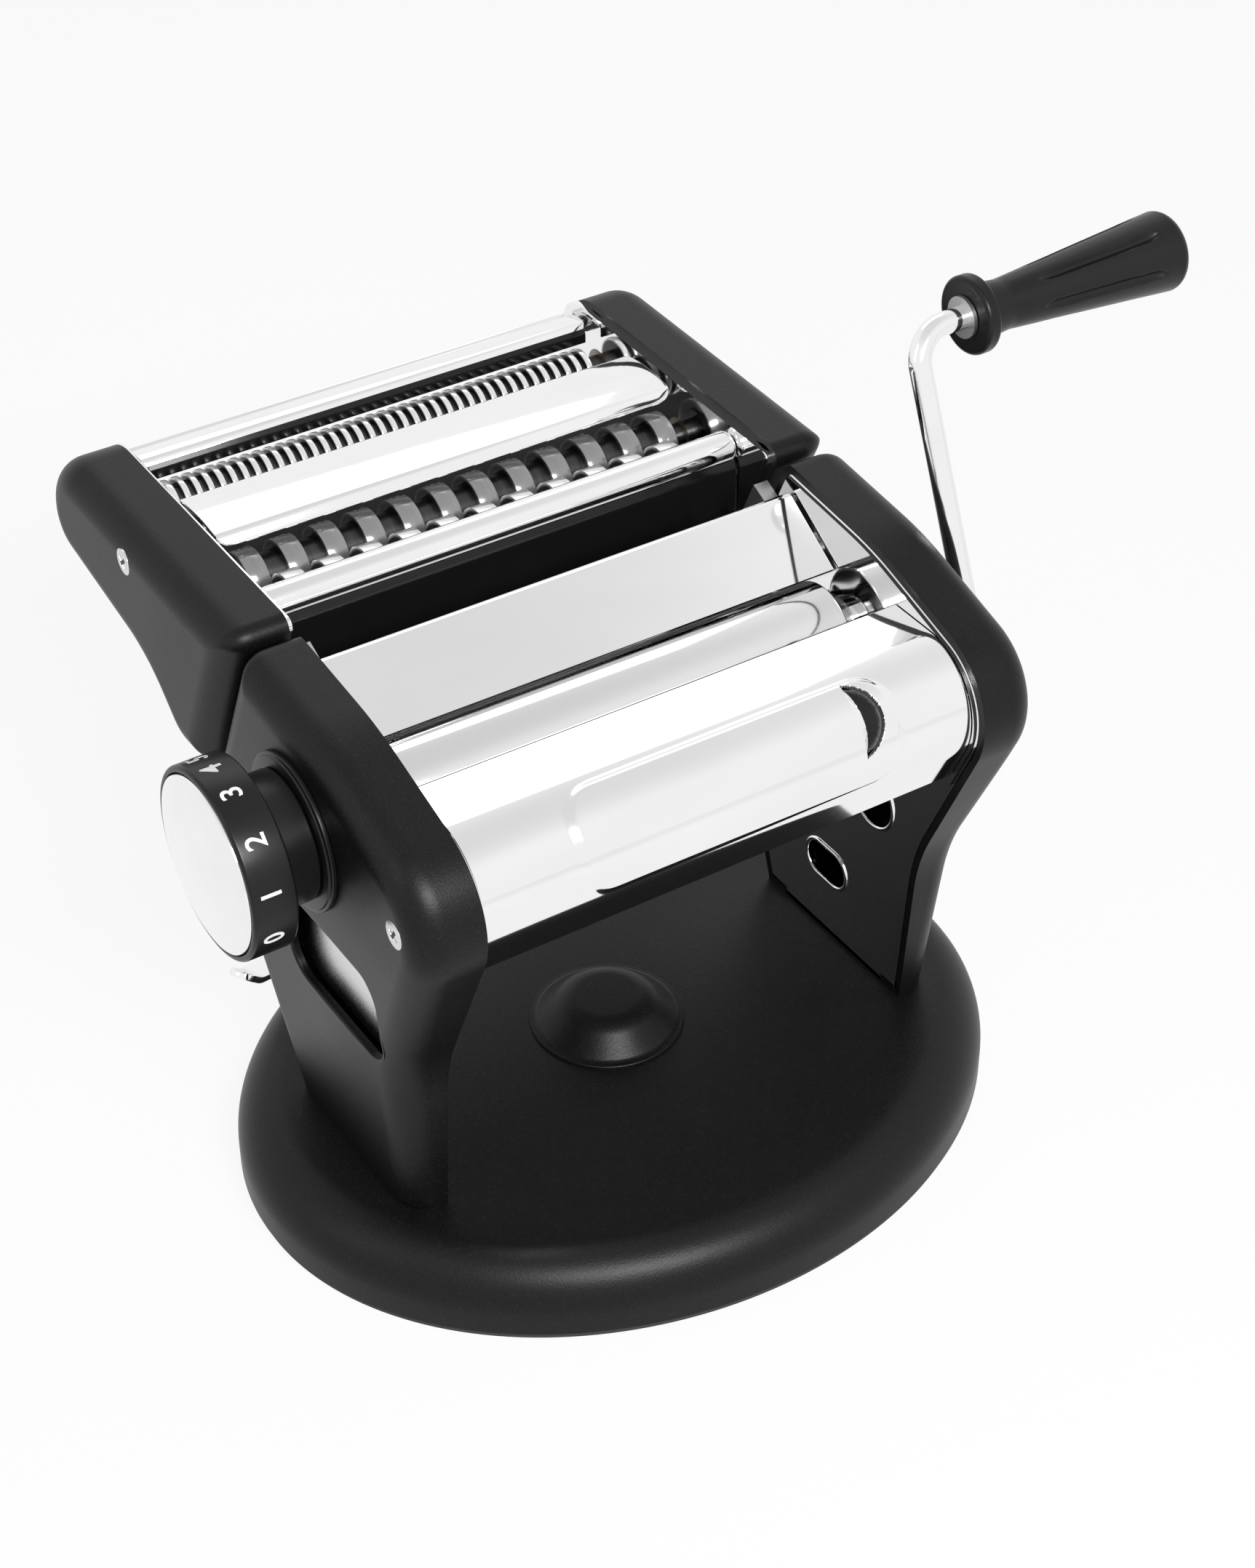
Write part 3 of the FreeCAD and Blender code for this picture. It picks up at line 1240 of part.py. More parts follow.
def build_cutter_guides():
    half = "(Sizes.inner_half - Sizes.cutter_plate_thickness)"
    keep(rod("front_guide", "Sizes.front_bar_radius", "-" + half, "2 * " + half, "Sizes.front_bar_y",
             "Sizes.front_bar_z"), "cutter_front_bar")
    top = "Sizes.guide_top"
    under = "Sizes.guide_top - Sizes.sheet_thickness"
    crown = "Sizes.guide_top + Sizes.guide_crown"
    middle = "(Sizes.mid_front_y + Sizes.mid_rear_y) / 2"
    keep(slab("mid_guide", [
        ("Sizes.mid_front_y", top + " - Sizes.guide_fall"), ("Sizes.mid_front_y + 3", top),
        (middle, crown), ("Sizes.mid_rear_y - 3", top), ("Sizes.mid_rear_y", top + " - Sizes.guide_fall"),
        ("Sizes.mid_rear_y - Sizes.sheet_thickness", top + " - Sizes.guide_fall"),
        ("Sizes.mid_rear_y - 3.5", under), (middle, crown + " - Sizes.sheet_thickness"),
        ("Sizes.mid_front_y + 3.5", under),
        ("Sizes.mid_front_y + Sizes.sheet_thickness", top + " - Sizes.guide_fall"),
    ], "-" + half, "2 * " + half), "cutter_mid_guide")
    keep(slab("rear_guide", [
        ("Sizes.rear_guide_front_y", top + " - Sizes.guide_fall"), ("Sizes.rear_guide_front_y + 3", top),
        ("Sizes.rear_guide_rear_y - 5", top + " + 0.5"), ("Sizes.rear_guide_rear_y", top + " - 5"),
        ("Sizes.rear_guide_rear_y", "Sizes.rear_guide_tail_z"),
        ("Sizes.rear_guide_rear_y - Sizes.sheet_thickness", "Sizes.rear_guide_tail_z"),
        ("Sizes.rear_guide_rear_y - Sizes.sheet_thickness", top + " - 5.5"),
        ("Sizes.rear_guide_rear_y - 5.7", under + " + 0.5"), ("Sizes.rear_guide_front_y + 3.5", under),
        ("Sizes.rear_guide_front_y + Sizes.sheet_thickness", top + " - Sizes.guide_fall"),
    ], "-" + half, "2 * " + half), "cutter_rear_guide")
    ties = [rod("cutter_tie_%s" % where, "Sizes.cutter_tie_radius", "-" + half, "2 * " + half,
                "Sizes.cutter_tie_%s_y" % where, "Sizes.cutter_tie_%s_z" % where) for where in ("front", "rear")]
    keep(group("cutter_ties", ties), "cutter_tie_rods")


def build_combs():
    """Plates under the cutter rollers; the wide ones have fingers that reach into the grooves."""
    half = size("inner_half") - size("cutter_plate_thickness")
    clear = size("cutter_mesh_clearance")
    combs = []
    for prefix in ("wide", "fine"):
        front = size(prefix + "_front_y")
        for y, phase in ((front, 0.5), (front + cutter_mesh(prefix), 0.0)):
            top = size(prefix + "_axis_z") - size(prefix + "_radius") - clear
            back = y - size("comb_thickness") / 2
            comb = Part.makeBox(2 * half, size("comb_thickness"), size("comb_height"),
                                Vector(-half, back, top - size("comb_height")))
            if prefix == "wide":
                count = int(size("roller_half_length") / size("wide_pitch"))
                for index in range(-count, count):
                    middle = (index + phase) * size("wide_pitch")
                    comb = comb.fuse(Part.makeBox(size("comb_finger"), size("comb_thickness"), size("wide_groove"),
                                                  Vector(middle - size("comb_finger") / 2, back, top)))
            combs.append(comb.removeSplitter())
    keep(solid("comb_set", Part.makeCompound(combs)), "cutter_combs")


build_base()
build_mechanism_cap()
build_suction()
build_screws(build_sides())
build_sheets()
build_rollers()
build_drive()
build_crank()
build_dial()
build_cutter_rollers()
build_cutter_sides()
build_cutter_guides()
build_combs()
build_rails()
doc.recompute()

faults = [item.Name for item in doc.Objects if "Invalid" in item.State or "Error" in item.State]
for node in NODES:
    if node.Shape.isNull() or not node.Shape.isValid():
        faults.append(node.Label)
if faults:
    raise RuntimeError("failed: " + ", ".join(faults))

os.makedirs("parts", exist_ok=True)
for node in NODES:
    node.Shape.exportStep(os.path.join("parts", node.Label + ".step"))
print("wrote", len(NODES), "sub-parts")
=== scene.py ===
import json
import math

import bpy
import numpy as np
from mathutils import Matrix, Vector


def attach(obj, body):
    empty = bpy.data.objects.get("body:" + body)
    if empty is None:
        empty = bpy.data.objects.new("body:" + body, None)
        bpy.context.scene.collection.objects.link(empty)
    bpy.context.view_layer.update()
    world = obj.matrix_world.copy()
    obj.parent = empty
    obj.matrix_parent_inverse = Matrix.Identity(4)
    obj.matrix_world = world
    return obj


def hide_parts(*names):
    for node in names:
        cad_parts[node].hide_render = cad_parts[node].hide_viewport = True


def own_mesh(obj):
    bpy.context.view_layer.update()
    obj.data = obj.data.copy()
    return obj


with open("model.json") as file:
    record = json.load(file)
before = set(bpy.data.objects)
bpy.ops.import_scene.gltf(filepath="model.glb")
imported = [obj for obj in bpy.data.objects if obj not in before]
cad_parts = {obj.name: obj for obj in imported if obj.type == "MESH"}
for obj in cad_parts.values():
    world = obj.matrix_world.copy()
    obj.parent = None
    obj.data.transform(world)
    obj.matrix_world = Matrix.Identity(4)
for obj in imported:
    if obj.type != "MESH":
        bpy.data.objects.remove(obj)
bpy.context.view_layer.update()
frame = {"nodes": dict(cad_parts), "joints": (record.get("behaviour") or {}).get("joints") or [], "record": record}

# A hand-cranked pasta roller machine. Shapes are worked out in millimetres in the frame of the packed
# model: X along the rollers towards the crank, Y towards the cutter attachment, Z up.

MM = 0.001
TURN = 2 * math.pi
QUARTER = math.pi / 2
# Points of a skin that are closer than this become one point
WELD = 0.0005
TINY = 1e-6
HINGES = {joint["child"]: joint.get("pos_m") for joint in frame["joints"]}


def axle(body):
    """A point, in the middle of the machine, on the line that a body turns about."""
    return tuple(place / MM for place in HINGES[body])


# Finishes

class Value:
    """A node's output that takes part in plain arithmetic: every operator adds one Math node."""

    def __init__(self, finish, output):
        self.finish = finish
        self.output = output

    def maths(self, operation, first, second):
        return self.finish.node("ShaderNodeMath", {"operation": operation}, {0: first, 1: second})

    def __add__(self, other):
        return self.maths("ADD", self, other)

    def __radd__(self, other):
        return self.maths("ADD", other, self)

    def __sub__(self, other):
        return self.maths("SUBTRACT", self, other)

    def __rsub__(self, other):
        return self.maths("SUBTRACT", other, self)

    def __mul__(self, other):
        return self.maths("MULTIPLY", self, other)

    def __rmul__(self, other):
        return self.maths("MULTIPLY", other, self)

    def __pow__(self, other):
        return self.maths("POWER", self, other)

    def largest(self, other):
        return self.maths("MAXIMUM", self, other)


class Finish:
    """A procedural finish. All its nodes come from node(), and its numbers from sums of Values."""

    def __init__(self, holder):
        self.holder = holder
        self.holder.use_nodes = True
        self.tree = self.holder.node_tree
        self.tree.nodes.clear()

    def node(self, kind, settings=None, sockets=None, out=0):
        """Adds a node of a kind: first its settings, then the values or links of its sockets."""
        made = self.tree.nodes.new(kind)
        for name, setting in (settings or {}).items():
            setattr(made, name, setting)
        for name, source in (sockets or {}).items():
            if isinstance(source, Value):
                self.tree.links.new(source.output, made.inputs[name])
            else:
                made.inputs[name].default_value = source
        return Value(self, made.outputs[out]) if made.outputs else None

    def place(self):
        """Object coordinates, in metres."""
        return self.node("ShaderNodeTexCoord", out="Object")

    def part(self, vector, letter):
        """One coordinate of a vector."""
        return self.node("ShaderNodeSeparateXYZ", {}, {"Vector": vector}, letter)

    def stretched(self, scale):
        """Object coordinates stretched by a scale for each axis."""
        return self.node("ShaderNodeMapping", {}, {"Vector": self.place(), "Scale": scale})

    def noise(self, scale, detail=2, rough=0.5, at=None):
        """Soft noise between 0 and 1, with so many cells to the metre."""
        sockets = {"Vector": at or self.place(), "Scale": scale, "Detail": detail, "Roughness": rough}
        return self.node("ShaderNodeTexNoise", {}, sockets, "Fac")

    def between(self, value, low, high):
        """0 below low, 1 above high, and a soft step from one to the other."""
        return self.node("ShaderNodeMapRange", {"interpolation_type": "SMOOTHSTEP"},
                         {"Value": value, "From Min": low, "From Max": high}, "Result")

    def blend(self, share, first, second):
        """Mixes two colours."""
        sockets = {"Factor": share, "A": first, "B": second}
        return self.node("ShaderNodeMix", {"data_type": "RGBA"}, sockets, 2)

    def bump(self, height, depth, strength):
        """A normal that follows a height between 0 and 1, so many metres deep."""
        return self.node("ShaderNodeBump", {}, {"Height": height, "Distance": depth, "Strength": strength})

    def ray(self, kind):
        """1 where the ray that sees the surface is of a kind, such as Camera or Glossy, and 0 elsewhere."""
        return self.node("ShaderNodeLightPath", out="Is %s Ray" % kind)

    def surface(self, **sockets):
        """Ends the finish in one shader; the sockets are named with underscores for spaces."""
        named = {name.replace("_", " "): source for name, source in sockets.items()}
        self.end(self.node("ShaderNodeBsdfPrincipled", {}, named))
        return self.holder

    def end(self, shader, kind="ShaderNodeOutputMaterial"):
        self.node(kind, {}, {"Surface": shader})


def new_finish(name):
    return Finish(bpy.data.materials.new(name))


def grey(level, blue=0):
    return (level, level, level + blue, 1)


def powder_coat(name, level):
    """Black satin powder coat: a fine orange-peel grain, faint clouds and small paler specks."""
    coat = new_finish(name)
    grain = coat.noise(1700, 2, 0.6)
    swell = coat.noise(420, 1)
    cloud = coat.noise(22, 3, 0.6)
    speck = coat.between(coat.noise(2100, 0), 0.62, 0.74)
    colour = coat.blend(cloud, grey(level), grey(1.7 * level, 0.0006))
    colour = coat.blend(speck * 0.5, colour, grey(6 * level))
    return coat.surface(Base_Color=colour, Roughness=0.31 + 0.08 * cloud + 0.05 * grain,
                        Normal=coat.bump(grain * 0.75 + swell * 0.25, 0.0002, 0.35), Specular_IOR_Level=0.2)


def mirror_plate(name, level, rough):
    """Polished chrome plate: almost a mirror, with faint cloudy wiping marks and a very slow ripple."""
    plate = new_finish(name)
    wipe = plate.noise(60, 3, 0.55, plate.stretched((0.35, 1, 1)))
    haze = plate.noise(900, 1)
    ripple = plate.noise(26, 1)
    colour = plate.blend(wipe, grey(level - 0.05), grey(level + 0.03, 0.004))
    return plate.surface(Base_Color=colour, Metallic=1, Roughness=rough + 0.035 * wipe + 0.02 * haze,
                         Normal=plate.bump(ripple, 0.0004, 0.16))


def lathe_marks(metal, lines):
    """Fine rings along X, so many to the metre, some deeper than others."""
    return metal.noise(1, 2, 0.7, metal.stretched((lines, 14, 14)))


def turned_metal(name, level, rough, lines, mark):
    """Metal turned on a lathe, with rings of so clear a mark and a faint cloud."""
    metal = new_finish(name)
    ring = lathe_marks(metal, lines)
    cloud = metal.noise(40, 2)
    colour = metal.blend(ring, grey(level - 0.09 * mark), grey(level + 0.04 * mark, 0.004))
    return metal.surface(Base_Color=colour, Metallic=1, Roughness=rough + 0.08 * mark * ring + 0.03 * cloud,
                         Normal=metal.bump(ring, 0.00002, 0.35 * mark))


def ringed_metal(name, line, root, crest, level):
    """Cutter rings: bright where the radius sqrt(y^2 + z^2) from the roller's line nears the crest, and painted
    shade, a near black, down in the grooves."""
    metal = new_finish(name)
    off_y = metal.part(metal.place(), "Y") - line[1] * MM
    off_z = metal.part(metal.place(), "Z") - line[2] * MM
    radius = (off_y * off_y + off_z * off_z) ** 0.5
    rise = crest - root
    bright = metal.between(radius, (root + 0.5 * rise) * MM, (root + 0.85 * rise) * MM)
    ring = lathe_marks(metal, 1500)
    # painted shade: the grooves are coloured near black, 0.035 to 0.09, where shade falls between the rings
    groove = metal.blend(ring, grey(0.035), grey(0.09))
    land = metal.blend(ring, grey(0.8 * level), grey(level, 0.004))
    return metal.surface(Base_Color=metal.blend(bright, groove, land), Metallic=1 - 0.4 * bright,
                         Roughness=0.3 - 0.17 * bright + 0.07 * ring, Normal=metal.bump(ring, 0.00002, 0.3))


def plain_steel(name, level, rough):
    """Ground steel: short scratches one way, with a dull film of oil."""
    steel = new_finish(name)
    scratch = steel.noise(1, 3, 0.65, steel.stretched((260, 2600, 700)))
    film = steel.noise(55, 3)
    colour = steel.blend(film, grey(level - 0.1), grey(level + 0.05, 0.006))
    return steel.surface(Base_Color=colour, Metallic=1, Roughness=rough + 0.14 * scratch + 0.08 * film,
                         Normal=steel.bump(scratch, 0.00003, 0.4))


def sintered_bronze(name):
    """Bearing bronze: porous grain and darker oil stains."""
    bronze = new_finish(name)
    pores = bronze.noise(3800, 1)
    stain = bronze.noise(90, 3)
    colour = bronze.blend(stain, (0.20, 0.175, 0.145, 1), (0.42, 0.37, 0.31, 1))
    return bronze.surface(Base_Color=colour, Metallic=1, Roughness=0.34 + 0.16 * pores,
                          Normal=bronze.bump(pores, 0.00003, 0.4))


def moulded_plastic(name, level, rough):
    """Moulded satin plastic: a fine spark-eroded grain and faint flow clouds."""
    plastic = new_finish(name)
    grain = plastic.noise(4200, 1)
    flow = plastic.noise(34, 3, 0.6)
    colour = plastic.blend(flow, grey(level), grey(1.6 * level, 0.0008))
    return plastic.surface(Base_Color=colour, Roughness=rough + 0.08 * flow + 0.05 * grain,
                           Normal=plastic.bump(grain, 0.00003, 0.35), Specular_IOR_Level=0.25)


def soft_rubber(name):
    """Black rubber with a dusty bloom."""
    rubber = new_finish(name)
    bloom = rubber.noise(120, 4, 0.6)
    grain = rubber.noise(3000, 1)
    colour = rubber.blend(bloom, grey(0.014), grey(0.035))
    return rubber.surface(Base_Color=colour, Roughness=0.62 + 0.2 * bloom,
                          Normal=rubber.bump(grain, 0.00004, 0.4))


def printed_ink(name):
    """White printing ink, thinner in places."""
    ink = new_finish(name)
    thin = ink.noise(1500, 2)
    colour = ink.blend(thin, grey(0.68), grey(0.84))
    return ink.surface(Base_Color=colour, Roughness=0.45 + 0.15 * thin)


BLACK_COAT = powder_coat("black_powder_coat", 0.0028)
CHROME = mirror_plate("chrome_plate", 0.88, 0.035)
ROLLER_STEEL = turned_metal("polished_roller_steel", 0.78, 0.05, 2400, 0.25)
CUTTER_STEEL = turned_metal("turned_cutter_metal", 0.70, 0.16, 1500, 1)
STEEL = plain_steel("ground_steel", 0.52, 0.24)
SCREW_STEEL = plain_steel("bright_screw_steel", 0.72, 0.2)
BRONZE = sintered_bronze("sintered_bronze")
SATIN_PLATE = plain_steel("satin_side_plate", 0.74, 0.14)
BLACK_GLOSS = moulded_plastic("black_gloss_apron", 0.004, 0.08)
PLASTIC = moulded_plastic("black_satin_plastic", 0.005, 0.24)
COMB_PLASTIC = moulded_plastic("grey_comb_plastic", 0.035, 0.42)
RUBBER = soft_rubber("black_rubber")
INK = printed_ink("white_dial_ink")
SLOT_FINISH = {"coat": BLACK_COAT, "chrome": CHROME, "steel": STEEL, "cutter_metal": CUTTER_STEEL,
               "bronze": BRONZE, "plastic": PLASTIC, "comb_plastic": COMB_PLASTIC, "rubber": RUBBER}


# Skins and pieces

def merged(points):
    """The points with those that meet made one, and the new number of each old point."""
    places = np.round(points / WELD).astype(np.int64)
    _, first, same = np.unique(places, axis=0, return_index=True, return_inverse=True)
    return points[first], same.reshape(-1)


def outward(points, quads, triangles):
    """Turns all faces round if the volume that they enclose is negative."""
    corner = points[np.concatenate([quads[:, [0, 1, 2]], quads[:, [0, 2, 3]], triangles])]
    volume = np.einsum("ij,ij->", corner[:, 0], np.cross(corner[:, 1], corner[:, 2]))
    if volume < 0:
        return points, quads[:, ::-1], triangles[:, ::-1]
    return points, quads, triangles


def welded(*grids):
    """One closed skin from grids of points: every cell is a quad, points that meet become one, and cells
    that shrink become triangles or vanish."""
    stacks = []
    cells = []
    start = 0
    for grid in grids:
        rows, columns = grid.shape[:2]
        index = start + np.arange(rows * columns).reshape(rows, columns)
        corners = [index[:-1, :-1], index[:-1, 1:], index[1:, 1:], index[1:, :-1]]
        cells.append(np.stack(corners, -1).reshape(-1, 4))
        stacks.append(grid.reshape(-1, 3))
        start += rows * columns
    points, same = merged(np.concatenate(stacks))
    cells = same[np.concatenate(cells)]
    repeat = cells == np.roll(cells, -1, axis=1)
    repeats = repeat.sum(axis=1)
    quads = cells[repeats == 0]
    quads = quads[(quads[:, 0] != quads[:, 2]) & (quads[:, 1] != quads[:, 3])]
    triangles = cells[repeats == 1][~repeat[repeats == 1]].reshape(-1, 3)
    return outward(points, quads, triangles)


def placed(name, data):
    """A new object of the scene."""
    made = bpy.data.objects.new(name, data)
    bpy.context.scene.collection.objects.link(made)
    return made


def piece(name, skins, body, slot, nodes=(), finish=None, crease=32):
    """Puts closed skins into one mesh, smooth but for edges sharper than the crease, and sets it on its
    body. The nodes are the solids that it stands for; its finish is its slot's, unless another is named."""
    offsets = np.cumsum([0] + [len(skin[0]) for skin in skins])
    points = np.concatenate([skin[0] for skin in skins])
    quads = np.concatenate([skin[1] + offset for skin, offset in zip(skins, offsets)])
    triangles = np.concatenate([skin[2] + offset for skin, offset in zip(skins, offsets)])
    corners = np.concatenate([quads.ravel(), triangles.ravel()]).astype(np.int32)
    starts = np.concatenate([4 * np.arange(len(quads)), 4 * len(quads) + 3 * np.arange(len(triangles))])
    mesh = bpy.data.meshes.new(name)
    mesh.vertices.add(len(points))
    mesh.vertices.foreach_set("co", (points * MM).astype(np.float32).ravel())
    mesh.loops.add(len(corners))
    mesh.loops.foreach_set("vertex_index", corners)
    mesh.polygons.add(len(starts))
    mesh.polygons.foreach_set("loop_start", starts.astype(np.int32))
    mesh.polygons.foreach_set("use_smooth", np.ones(len(starts), bool))
    mesh.update(calc_edges=True)
    mesh.validate()
    mesh.set_sharp_from_angle(angle=math.radians(crease))
    mesh.materials.append(finish or SLOT_FINISH[slot])
    made = placed(name, mesh)
    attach(made, body)
    if nodes:
        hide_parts(*nodes)
    return made


# Lines and the surfaces made from them

def unit(vectors):
    return vectors / np.linalg.norm(vectors, axis=-1, keepdims=True)


def toward(angle):
    """The direction at an angle in a plane."""
    return np.stack([np.cos(angle), np.sin(angle)], -1)


def with_third(flat, third):
    """Points of a plane with their third coordinate."""
    return np.concatenate([flat, np.broadcast_to(third, flat.shape[:-1] + (1,))], -1)


def full_turn(steps):
    """The angles of a full turn in even steps; the last is the first again."""
    angle = np.linspace(0, TURN, steps + 1)
    angle[-1] = 0
    return angle


def run_of(line):
    """The distance along a line to each of its points."""
    return np.concatenate([[0], np.cumsum(np.linalg.norm(np.diff(line, axis=0), axis=1))])


def way_of(line):
    """An open line's direction at each of its points."""
    return unit(np.gradient(line, axis=0))


def way_round(loop):
    """A loop's direction at each of its points."""
    return unit(np.roll(loop, -1, axis=0) - np.roll(loop, 1, axis=0))


def left_of(way):
    """Directions in a plane, turned a quarter turn to the left."""
    return np.stack([-way[:, 1], way[:, 0]], -1)


def rounded_line(corners, closed=False, steps=10):
    """Straight runs joined by tangent arcs: each corner is (a, b, radius), and its arc is swept in even
    steps about a centre on the corner's bisector."""
    table = np.asarray(corners, float)
    place, radius = table[:, :2], table[:, 2]
    back = unit(np.roll(place, 1, axis=0) - place)
    ahead = unit(np.roll(place, -1, axis=0) - place)
    if not closed:
        radius = np.concatenate([[0], radius[1:-1], [0]])
    half = np.arccos(np.clip(np.sum(back * ahead, axis=1), -1, 1)) / 2
    half = np.clip(half, 1e-4, QUARTER - 1e-9)
    middle = back + ahead
    middle /= np.maximum(np.linalg.norm(middle, axis=1, keepdims=True), 1e-9)
    centre = place + middle * (radius / np.sin(half))[:, None]
    reach = (radius / np.tan(half))[:, None]
    arm_in = place + back * reach - centre
    arm_out = place + ahead * reach - centre
    first = np.arctan2(arm_in[:, 1], arm_in[:, 0])
    sweep = np.arctan2(arm_out[:, 1], arm_out[:, 0]) - first
    sweep = (sweep + math.pi) % TURN - math.pi
    angle = first[:, None] + sweep[:, None] * np.linspace(0, 1, steps + 1)[None, :]
    arcs = centre[:, None, :] + radius[:, None, None] * toward(angle)
    sharp = radius < TINY
    arcs[sharp] = place[sharp][:, None, :]
    line = arcs.reshape(-1, 2)
    moved = np.linalg.norm(np.diff(line, axis=0), axis=1) > TINY
    line = line[np.concatenate([[True], moved])]
    return np.concatenate([line, line[:1]]) if closed else line


def rounded_box(a, b, half_a, half_b, radius, steps):
    """A closed box with round corners about a middle point; a negative half size turns it the other way."""
    return rounded_line([(a + half_a, b + half_b, radius), (a + half_a, b - half_b, radius),
                         (a - half_a, b - half_b, radius), (a - half_a, b + half_b, radius)], True, steps)


def even_line(line, count):
    """The same line with so many points at even distances along it."""
    run = run_of(line)
    at = np.linspace(0, run[-1], count)
    return np.stack([np.interp(at, run, line[:, 0]), np.interp(at, run, line[:, 1])], -1)


def below(path, drop):
    """A line moved to its right by a distance, along its own normals."""
    return path - left_of(way_of(path)) * drop


ALONG_X = ((1, 0, 0), (0, 1, 0), (0, 0, 1))
UPRIGHT = ((0, 0, 1), (1, 0, 0), (0, 1, 0))


def lathe(profile, origin=(0, 0, 0), turns=96, axes=ALONG_X):
    """A profile of (distance along the axis, radius) turned about an axis: origin + a * along
    + r * (cos t * across + sin t * up), for t over a full turn."""
    profile = np.asarray(profile, float)
    angle = full_turn(turns)
    along, across, up = np.asarray(axes, float)
    spoke = np.cos(angle)[:, None] * across + np.sin(angle)[:, None] * up
    return np.asarray(origin) + profile[:, 0, None, None] * along + profile[:, 1, None, None] * spoke[None]


def turned(profile, steps, origin, turns=96, axes=ALONG_X):
    """A skin turned from a profile of (distance along the axis, radius, rounding)."""
    return welded(lathe(rounded_line(profile, steps=steps), origin, turns, axes))


def carried_round(loop, normal, section):
    """A section of (reach, height) carried round a loop: loop + reach * normal, with the height third."""
    return with_third(loop[None] + normal[None] * section[:, 0, None, None], section[:, 1, None, None])


def stood_on_side(grid, side):
    """Points of (y, z, distance from the middle) as (x, y, z) on the left or the right."""
    return np.stack([side * grid[..., 2], grid[..., 0], grid[..., 1]], -1)


def round_wire(centre, radius, across, up, steps):
    """A wire of changing radius along a line: centre + r * (cos t * across + sin t * up)."""
    angle = full_turn(steps)
    spoke = np.cos(angle)[None, :, None] * across[:, None] + np.sin(angle)[None, :, None] * up[:, None]
    return welded(centre[:, None] + radius[:, None, None] * spoke)


def strip(path, half_length, thickness, corner=0):
    """Sheet metal: a rounded box of thickness and length carried along a line in the YZ plane, closed at
    both ends. At a distance e from its edge it is shorter by r - sqrt(r^2 - (r - e)^2)."""
    edge_round, rows = 0.25, 90
    path = even_line(path, rows)
    normal = left_of(way_of(path))
    section = rounded_box(0, 0, thickness / 2, -half_length, edge_round, 3)
    swell = np.ones(rows + 2)
    swell[[0, -1]] = 0
    path = np.concatenate([path[:1], path, path[-1:]])
    normal = np.concatenate([normal[:1], normal, normal[-1:]])
    across = path[:, None, :] + normal[:, None, :] * (section[None, :, 0] * swell[:, None])[:, :, None]
    run = run_of(path)
    edge = np.minimum(np.minimum(run, run[-1] - run), corner)
    cut = corner - np.sqrt(np.maximum(corner ** 2 - (corner - edge) ** 2, 0))
    length = section[None, :, 1] - np.sign(section[None, :, 1]) * cut[:, None]
    return welded(np.concatenate([length[..., None], across], -1))


# Oval base and what is under it

BASE_HALF_X, BASE_HALF_Y = 124, 101
BASE_TOP, BASE_LIFT, BASE_ROUND, BASE_WALL = 26, 2, 16, 2.5
STEM_FOOT = (0, axle("lever")[1], 0)
# Profiles as (height, radius, rounding)
CAP_PROFILE = [(BASE_TOP, 0, 0), (BASE_TOP, 24.5, 0), (26.9, 24.5, 0.5), (26.9, 22.6, 2.6),
               (35.5, 13.6, 10), (35.5, 0, 0)]
CUP_PROFILE = [(1.9, 0, 0), (2.4, 5, 2), (0.6, 40, 0.3), (0.6, 44, 0.4), (2, 44, 0.6),
               (3.8, 36, 4), (3.8, 0, 0)]


def base_edge(steps):
    """The base's outline, an ellipse (a cos t, b sin t), and its inward normals."""
    way = toward(full_turn(steps))
    return way * (BASE_HALF_X, BASE_HALF_Y), -unit(way * (BASE_HALF_Y, BASE_HALF_X))


def shoulder(inset, top, radius):
    """A quarter circle from an upright wall to a flat top, as (inset, height)."""
    bend = np.linspace(0, QUARTER, 17)
    return np.stack([inset + radius * (1 - np.cos(bend)), top - radius + radius * np.sin(bend)], -1)


def oval_base():
    """The base: a profile of (inset, height) carried round an ellipse along its normals, then shrunk to the
    middle of the roof on both faces of the wall."""
    inner_break, outer_break, wall_start = 0.5, 0.7, 6
    rim, normal = base_edge(256)
    outer = shoulder(0, BASE_TOP, BASE_ROUND)
    inner = shoulder(BASE_WALL, BASE_TOP - BASE_WALL, BASE_ROUND - BASE_WALL)
    lip = np.array([[BASE_WALL, BASE_LIFT + inner_break], [BASE_WALL - inner_break, BASE_LIFT],
                    [outer_break, BASE_LIFT], [0, BASE_LIFT + outer_break], [0, wall_start]])

    def roof(edge):
        share = np.linspace(1, 0, 14)[1:, None, None]
        return with_third(edge[None, :, :2] * share, edge[None, :, 2:])

    wall = carried_round(rim, normal, np.concatenate([inner[::-1], lip, outer]))
    return welded(np.concatenate([roof(wall[0])[::-1], wall, roof(wall[-1])]))


def foot_ring():
    """The rubber ring under the rim: a small rounded box of (inset, height) carried round the ellipse."""
    near, far, top_round, foot_round = 0.8, 5.8, 0.3, 0.8
    section = rounded_line([(near, BASE_LIFT, top_round), (far, BASE_LIFT, top_round), (far, 0, foot_round),
                            (near, 0, foot_round)], True, 4)
    return welded(carried_round(*base_edge(192), section))


def put_base():
    piece("oval_base", [oval_base()], "frame", "coat", ["base_shell"])
    piece("foot_ring", [foot_ring()], "frame", "rubber", ["base_ring"])
    cap = turned(CAP_PROFILE, 16, STEM_FOOT, axes=UPRIGHT)
    piece("mechanism_cap_dome", [cap], "frame", "coat", ["mechanism_cap"])
    cup = turned(CUP_PROFILE, 8, STEM_FOOT, axes=UPRIGHT)
    piece("suction_cup_disc", [cup], "cup", "rubber", ["suction_cup"])


# Side covers and what shows through them

INNER_HALF = 83
COVER_FACE = 104
COVER_WALL = 2.5
RIM_ROUND = 10
# The machine's covers lean in below a height, by so much over so far, after a soft bend
LEAN_START, LEAN_REACH, LEAN, LEAN_SOFT = 132, 106, 8, 8
